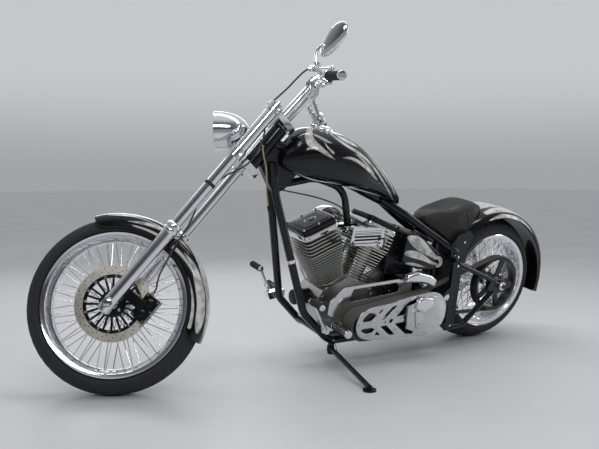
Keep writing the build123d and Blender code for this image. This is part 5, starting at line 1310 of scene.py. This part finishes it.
class CHOPPER_OT_fork_details(bpy.types.Operator):
    """Collars, caps and bolts of the fork, the front disc with its dark carrier, and the caliper"""
    bl_idname = "chopper.fork_details"
    bl_label = "Fork details"

    def execute(self, context):
        collars, caps, bolts = [], [], []
        collar = [(20.8, 340), (27.2, 340), (29.4, 344), (30.6, 350), (30.6, 356), (28.6, 359), (28.6, 364),
                  (31.2, 367), (31.2, 375), (29, 381), (24, 385), (20.8, 386), (20.8, 340)]
        foot = [(0, -44), (12, -43.5), (20, -41), (25, -36), (27.4, -28), (27.4, -20), (0, -20)]
        crown = [(0, 1016), (12, 1016), (14, 1013), (14, 1006), (20, 1005), (22.5, 1002), (22.5, 997),
                 (0, 997)]
        nut = [(0, 2), (12, 2), (17, 0), (19.3, -4), (19.3, -11), (0, -11)]
        for side in SIDES:
            y = side * LEG_HALF
            collars.append(lathe(collar, leg((0, 0, y)), ALONG, 64))
            caps.append(lathe(foot, leg((0, 0, y)), ALONG, 48))
            caps.append(lathe(crown, leg((0, 0, y)), ALONG, 36))
            for along in (747, 984):
                bolts.append(studs(leg((along, 22, y + side * 17)), ACROSS * side, 6.5, 8, 6))
                bolts.append(studs(leg((along, -31, y)), -BEHIND, 6.0, 5, 6))
            seats = leg([(along, 0, y + side * 27) for along in (-16, 16)])
            bolts.append(studs(seats, ACROSS * side, 5.5, 5, 6))
            caps.append(lathe(nut, leg((0, 0, side * 157.0)), ACROSS * side, 6))
        band = [(20.3, -7), (22.4, -7), (22.8, 0), (22.4, 7), (20.3, 7), (20.3, -7)]
        place("fork_collars", collars, "chrome", "steering", "chrome")
        place("fork_caps", caps, "chrome", "steering", "chrome", angle=25)
        place("fork_bolts", bolts, "chrome", "steering", "chrome")
        place("hose_band", [lathe(band, leg((586, 0, -LEG_HALF)), ALONG, 40)], "rubber", "steering",
              "rubber")
        self.disc()
        self.caliper()
        return {"FINISHED"}

    def disc(self):
        """A steel ring, dots of painted shade for its drilled holes, riveted to a dark carrier of twenty
        arms.
        """
        seat = FRONT + FRONT_DISC_Y * ACROSS / 1000
        ring = [(112, -2.5), (145.2, -2.5), (146, -1.7), (146, 1.7), (145.2, 2.5), (112, 2.5), (111.4, 0),
                (112, -2.5)]
        place("front_disc_ring", [lathe(ring, seat, ACROSS, 180)], "disc_steel", "front_wheel", "steel",
              ("front_brake_disc",))
        inner = [(23, -4), (50, -4), (52, -3), (52, 3), (50, 4), (23, 4), (23, -4)]
        outer = [(101, -3.4), (112, -3.4), (113, -2.8), (113, 2.8), (112, 3.4), (101, 3.4), (100, 2.6),
                 (100, -2.6), (101, -3.4)]
        made = [lathe(inner, seat, ACROSS, 80), lathe(outer, seat, ACROSS, 160)]
        flat_way, top = basis(ACROSS)
        for out in swing(np.arange(20) * pi / 10, flat_way, top):
            ways = [out, np.cross(out, ACROSS), ACROSS]
            made.append(box_of(seat + out * 0.076, ways, (27, 4.4, 3), 5, 8, 16))
        place("front_disc_carrier", made, "black_cover", "front_wheel", "black_metal")
        angle = np.arange(20) * pi / 10 + pi / 20
        # The ring is not drilled: a flat dark dot on each face is painted shade for each hole.
        hole_shades = []
        for radius, shift in ((120, 0.0), (129, 0.105), (138, 0.21)):
            spots = radius * swing(angle + shift, flat_way, top)
            for side in SIDES:
                hole_shades.append(studs(seat + (spots + side * 2.5 * ACROSS) / 1000, ACROSS * side, 2.4, 0.12, 10,
                                   0.5))
        place("front_disc_holes", hole_shades, "dark_steel", "front_wheel", "steel")

    def caliper(self):
        """Piston caps, bridge bolts and the hose's banjo on the caliper."""
        pistons = [studs(leg([(66 + a, 112, FRONT_DISC_Y + side * 28.2) for a in (-25, 25)]), ACROSS * side,
                         17, 4, 24, 0.6) for side in SIDES]
        place("caliper_pistons", pistons, "black_cover", "steering", "black_metal")
        seats = [(66 + a, 112 + b, -93.2) for a in (-44, 0, 44) for b in (-24, 24)]
        place("caliper_bolts", [studs(leg(seats), -ACROSS, 4.4, 5, 6)], "chrome", "steering", "chrome")
        banjo = [(0, 12), (6, 12), (6.4, 9), (8.2, 8), (8.2, 0), (0, 0)]
        place("hose_banjo", [lathe(banjo, leg((118.2, 98, -84)), ALONG, 20)], "brass", "steering", "steel")


class CHOPPER_OT_details(bpy.types.Operator):
    """Exhaust ends, ringed pegs, axle nuts, bolts, the loose cable and the stand's spring"""
    bl_idname = "chopper.details"
    bl_label = "Details"

    def execute(self, context):
        lips, mouth_shades = [], []
        lip = [(24.6, -3), (24.8, 3), (23.9, 4.6), (22.8, 4.6), (22.2, 3), (22.2, -3), (24.6, -3)]
        # The dark disc across each pipe's end is painted shade for the hollow inside the pipe.
        mouth = [(0, 0.1), (22.4, 0.1), (22.4, 0.9), (0, 0.9)]
        flange = [(25.4, 96), (36, 96), (38, 99), (38, 106), (34, 110), (25.4, 110), (25.4, 96)]
        for end in ((1860, 238, 196), (1900, 226, 262)):
            lips.append(lathe(lip, bike(end), BACKWARD, 64))
            mouth_shades.append(lathe(mouth, bike(end), BACKWARD, 48))
        lips += [lathe(flange, bike((x, 0, 545)), RIGHT, 48) for x in (884, 1164)]
        place("exhaust_lips", lips, "chrome", "frame", "chrome")
        place("exhaust_mouths", mouth_shades, "dark_steel", "frame", "steel")
        self.pegs()
        self.bolts()
        self.spring()
        return {"FINISHED"}

    def pegs(self):
        """Rubber rings along each peg, and its domed end."""
        rings, ends = [], []
        pegs = (((930, 212), -1, 17, 158, 250), ((800, 290), 1, 17, 158, 250),
                ((790, 342), -1, 12, 166, 240), ((704, 398), 1, 12, 166, 240))
        for (x, z), side, r, low, high in pegs:
            ring = [(r - 0.6, -3.6), (r + 1.6, -3.6), (r + 2.8, -2), (r + 2.8, 2), (r + 1.6, 3.6),
                    (r - 0.6, 3.6), (r - 0.6, -3.6)]
            rings += [lathe(ring, bike((x, side * y, z)), RIGHT, 24) for y in np.linspace(low, high, 8)]
            dome = [(0, 5), (r * 0.6, 4), (r * 0.9, 1.6), (r + 1, -2), (r + 1, -5), (0, -5)]
            ends.append(lathe(dome, bike((x, side * (high + 8), z)), RIGHT * side, 32))
        place("peg_rings", rings, "rubber", "frame", "rubber")
        place("peg_ends", ends, "chrome", "frame", "chrome")

    def bolts(self):
        """Axle nuts, bolts where frame and mudguard meet, a tube's clip and the loose cable."""
        axle = [studs(bike((WHEELBASE, side * 198, REAR_Z)), RIGHT * side, 13, 12, 6) for side in SIDES]
        place("rear_axle_nuts", axle, "dark_steel", "frame", "steel")
        made = []
        for side in SIDES:
            seats = [(x, side * 150.4, z) for x, z in ((1590, 500), (1612, 486), (1597, 454), (1640, 560))]
            made.append(studs(bike(seats), RIGHT * side, 6.5, 5, 6))
            made.append(studs(bike((1540, side * 182.2, 300)), RIGHT * side, 17, 8, 6))
            seats = [(1588, side * 182.1, z) for z in (150, 452)]
            made.append(studs(bike(seats), RIGHT * side, 7, 5, 6))
        place("frame_bolts", made, "chrome", "frame", "chrome")
        start, end = bike((648, -24, 775)), bike((785, -110, 272))
        clip = [(17.6, -8), (19.6, -7), (20, 0), (19.6, 7), (17.6, 8), (17.6, -8)]
        place("tube_clips", [lathe(clip, start + (end - start) * 0.55, unit(end - start), 36)], "chrome",
              "frame", "chrome")
        line = flow(bike([(672, -20, 800), (759, -30, 785), (852, -34, 766), (930, -30, 742),
                          (972, -19, 726), (1002, -11, 709), (1024, -5, 690)]), 48)
        place("loose_cable", [sweep(line, circle(10) * 3.0, RIGHT)], "rubber", "frame", "rubber")

    def spring(self):
        """The side stand's return spring: a wire carried along a helix between two hooks."""
        start, end = bike((938, -134, 142)), bike((905, -246, 86))
        way = unit(end - start)
        side, top = basis(way)
        t = np.linspace(0, 1, 260)
        turns = 2 * pi * 15 * np.clip((t - 0.08) / 0.84, 0, 1)
        radius = 0.0062 * np.clip(np.minimum(t, 1 - t) / 0.06, 0, 1)
        path = start + (end - start) * t[:, None] + radius[:, None] * swing(turns, side, top)
        place("stand_spring", [sweep(path, circle(6) * 1.5, way)], "satin_chrome", "side_stand", "steel")


FLOOR_HALF = 60.0       # metres
VIEW_WAY = (0.51, 0.86, 0.0)        # the camera's, along the floor


class CHOPPER_OT_stage(bpy.types.Operator):
    """Plain pale floor, soft studio light and the camera"""
    bl_idname = "chopper.stage"
    bl_label = "Stage"

    def execute(self, context):
        scene = context.scene
        scene.view_settings.view_transform = "Standard"
        pale = finish("pale_floor", scene.chopper_colours.floor, 0.0, (0.46, 0.58), scale=0.8,
                      shade=[0.96 * c for c in scene.chopper_colours.floor])
        x, y = np.meshgrid((-FLOOR_HALF, FLOOR_HALF), (-FLOOR_HALF, FLOOR_HALF), indexing="ij")
        floor = place("studio_floor", [grid(np.stack([x, y, x * 0], -1))], pale.name, "frame", "steel")
        floor.parent = None
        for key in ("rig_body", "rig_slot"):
            if key in floor:
                del floor[key]
        self.light(scene)
        self.camera(scene)
        return {"FINISHED"}

    def light(self, scene):
        """A world that is pale ahead of the camera, dark behind it and grey below, and four soft lamps."""
        world = bpy.data.worlds.new("studio")
        scene.world = world
        world.use_nodes = True
        tree = world.node_tree
        way = add(tree, "TexCoord").outputs["Generated"]
        height = add(tree, "SeparateXYZ", {0: way}).outputs["Z"]
        ahead = add(tree, "VectorMath", {0: way, 1: VIEW_WAY}, operation="DOT_PRODUCT").outputs["Value"]
        wall = mix(tree, ramp(tree, ahead, -0.9, -0.3), (0.05, 0.052, 0.058, 1), (0.22, 0.225, 0.24, 1))
        wall = mix(tree, ramp(tree, ahead, -0.3, 0.45), wall, (0.56, 0.57, 0.59, 1))
        low = mix(tree, ramp(tree, height, 0.0, 0.16), (0.36, 0.365, 0.375, 1), wall)
        shown = mix(tree, ramp(tree, height, 0.66, 0.96), low, (0.62, 0.63, 0.65, 1))
        tree.links.new(shown, tree.nodes["Background"].inputs["Color"])
        lamps = (("key", (-1.9, -3.4, 3.0), (3.2, 0.7), 60.0), ("top", (0.2, 0.2, 3.4), (4.4, 0.5), 40.0),
                 ("fill", (3.4, -1.6, 1.5), (0.6, 2.2), 18.0), ("back", (0.6, 3.2, 2.2), (3.5, 0.8), 26.0))
        for name, spot, (width, depth), power in lamps:
            lamp = bpy.data.lights.new(name, "AREA")
            lamp.shape, lamp.size, lamp.size_y, lamp.energy = "RECTANGLE", width, depth, power
            made = bpy.data.objects.new(name, lamp)
            scene.collection.objects.link(made)
            made.location = spot
            aim = Vector((-0.1, 0.0, 0.5)) - made.location
            made.rotation_euler = aim.to_track_quat("-Z", "Y").to_euler()

    def camera(self, scene):
        """The camera of the photograph: from the front left, a little above the wheels."""
        made = bpy.data.cameras.new("camera")
        made.sensor_fit, made.sensor_width, made.lens = "HORIZONTAL", 36.0, 41.42
        camera = bpy.data.objects.new("camera", made)
        scene.collection.objects.link(camera)
        camera.location = Vector(REAR) + Vector((-2.645286, -2.634118, 0.489133))
        turn_by, tilt = radians(30.789), radians(3.5355)
        aim = Vector((sin(turn_by) * cos(tilt), cos(turn_by) * cos(tilt), -sin(tilt)))
        camera.rotation_euler = aim.to_track_quat("-Z", "Y").to_euler()
        scene.camera = camera


class CHOPPER_PT_panel(bpy.types.Panel):
    """Lists the sizes, colours and steps of the motorcycle's look"""
    bl_idname = "CHOPPER_PT_panel"
    bl_label = "Chopper Motorcycle"
    bl_space_type = "VIEW_3D"
    bl_region_type = "UI"
    bl_category = "Chopper"

    def draw(self, context):
        layout = self.layout
        for group in (context.scene.chopper_sizes, context.scene.chopper_colours):
            for key in group.__annotations__:
                layout.prop(group, key)
        for step in STEPS:
            layout.operator(step.bl_idname)


STEPS = (
    CHOPPER_OT_finishes, CHOPPER_OT_kept_solids, CHOPPER_OT_tank, CHOPPER_OT_mudguards, CHOPPER_OT_oil_tank,
    CHOPPER_OT_wheels, CHOPPER_OT_headlight, CHOPPER_OT_engine, CHOPPER_OT_primary_drive, CHOPPER_OT_seat,
    CHOPPER_OT_bar_controls, CHOPPER_OT_fork_details, CHOPPER_OT_details, CHOPPER_OT_stage,
)
CLASSES = (ChopperSizes, ChopperColours, *STEPS, CHOPPER_PT_panel)


def register():
    for made in CLASSES:
        bpy.utils.register_class(made)
    bpy.types.Scene.chopper_sizes = bpy.props.PointerProperty(type=ChopperSizes)
    bpy.types.Scene.chopper_colours = bpy.props.PointerProperty(type=ChopperColours)


def unregister():
    del bpy.types.Scene.chopper_colours
    del bpy.types.Scene.chopper_sizes
    for made in reversed(CLASSES):
        bpy.utils.unregister_class(made)


def main():
    register()
    for step in STEPS:
        getattr(bpy.ops.chopper, step.bl_idname.split(".")[1])()


if __name__ == "__main__":
    main()
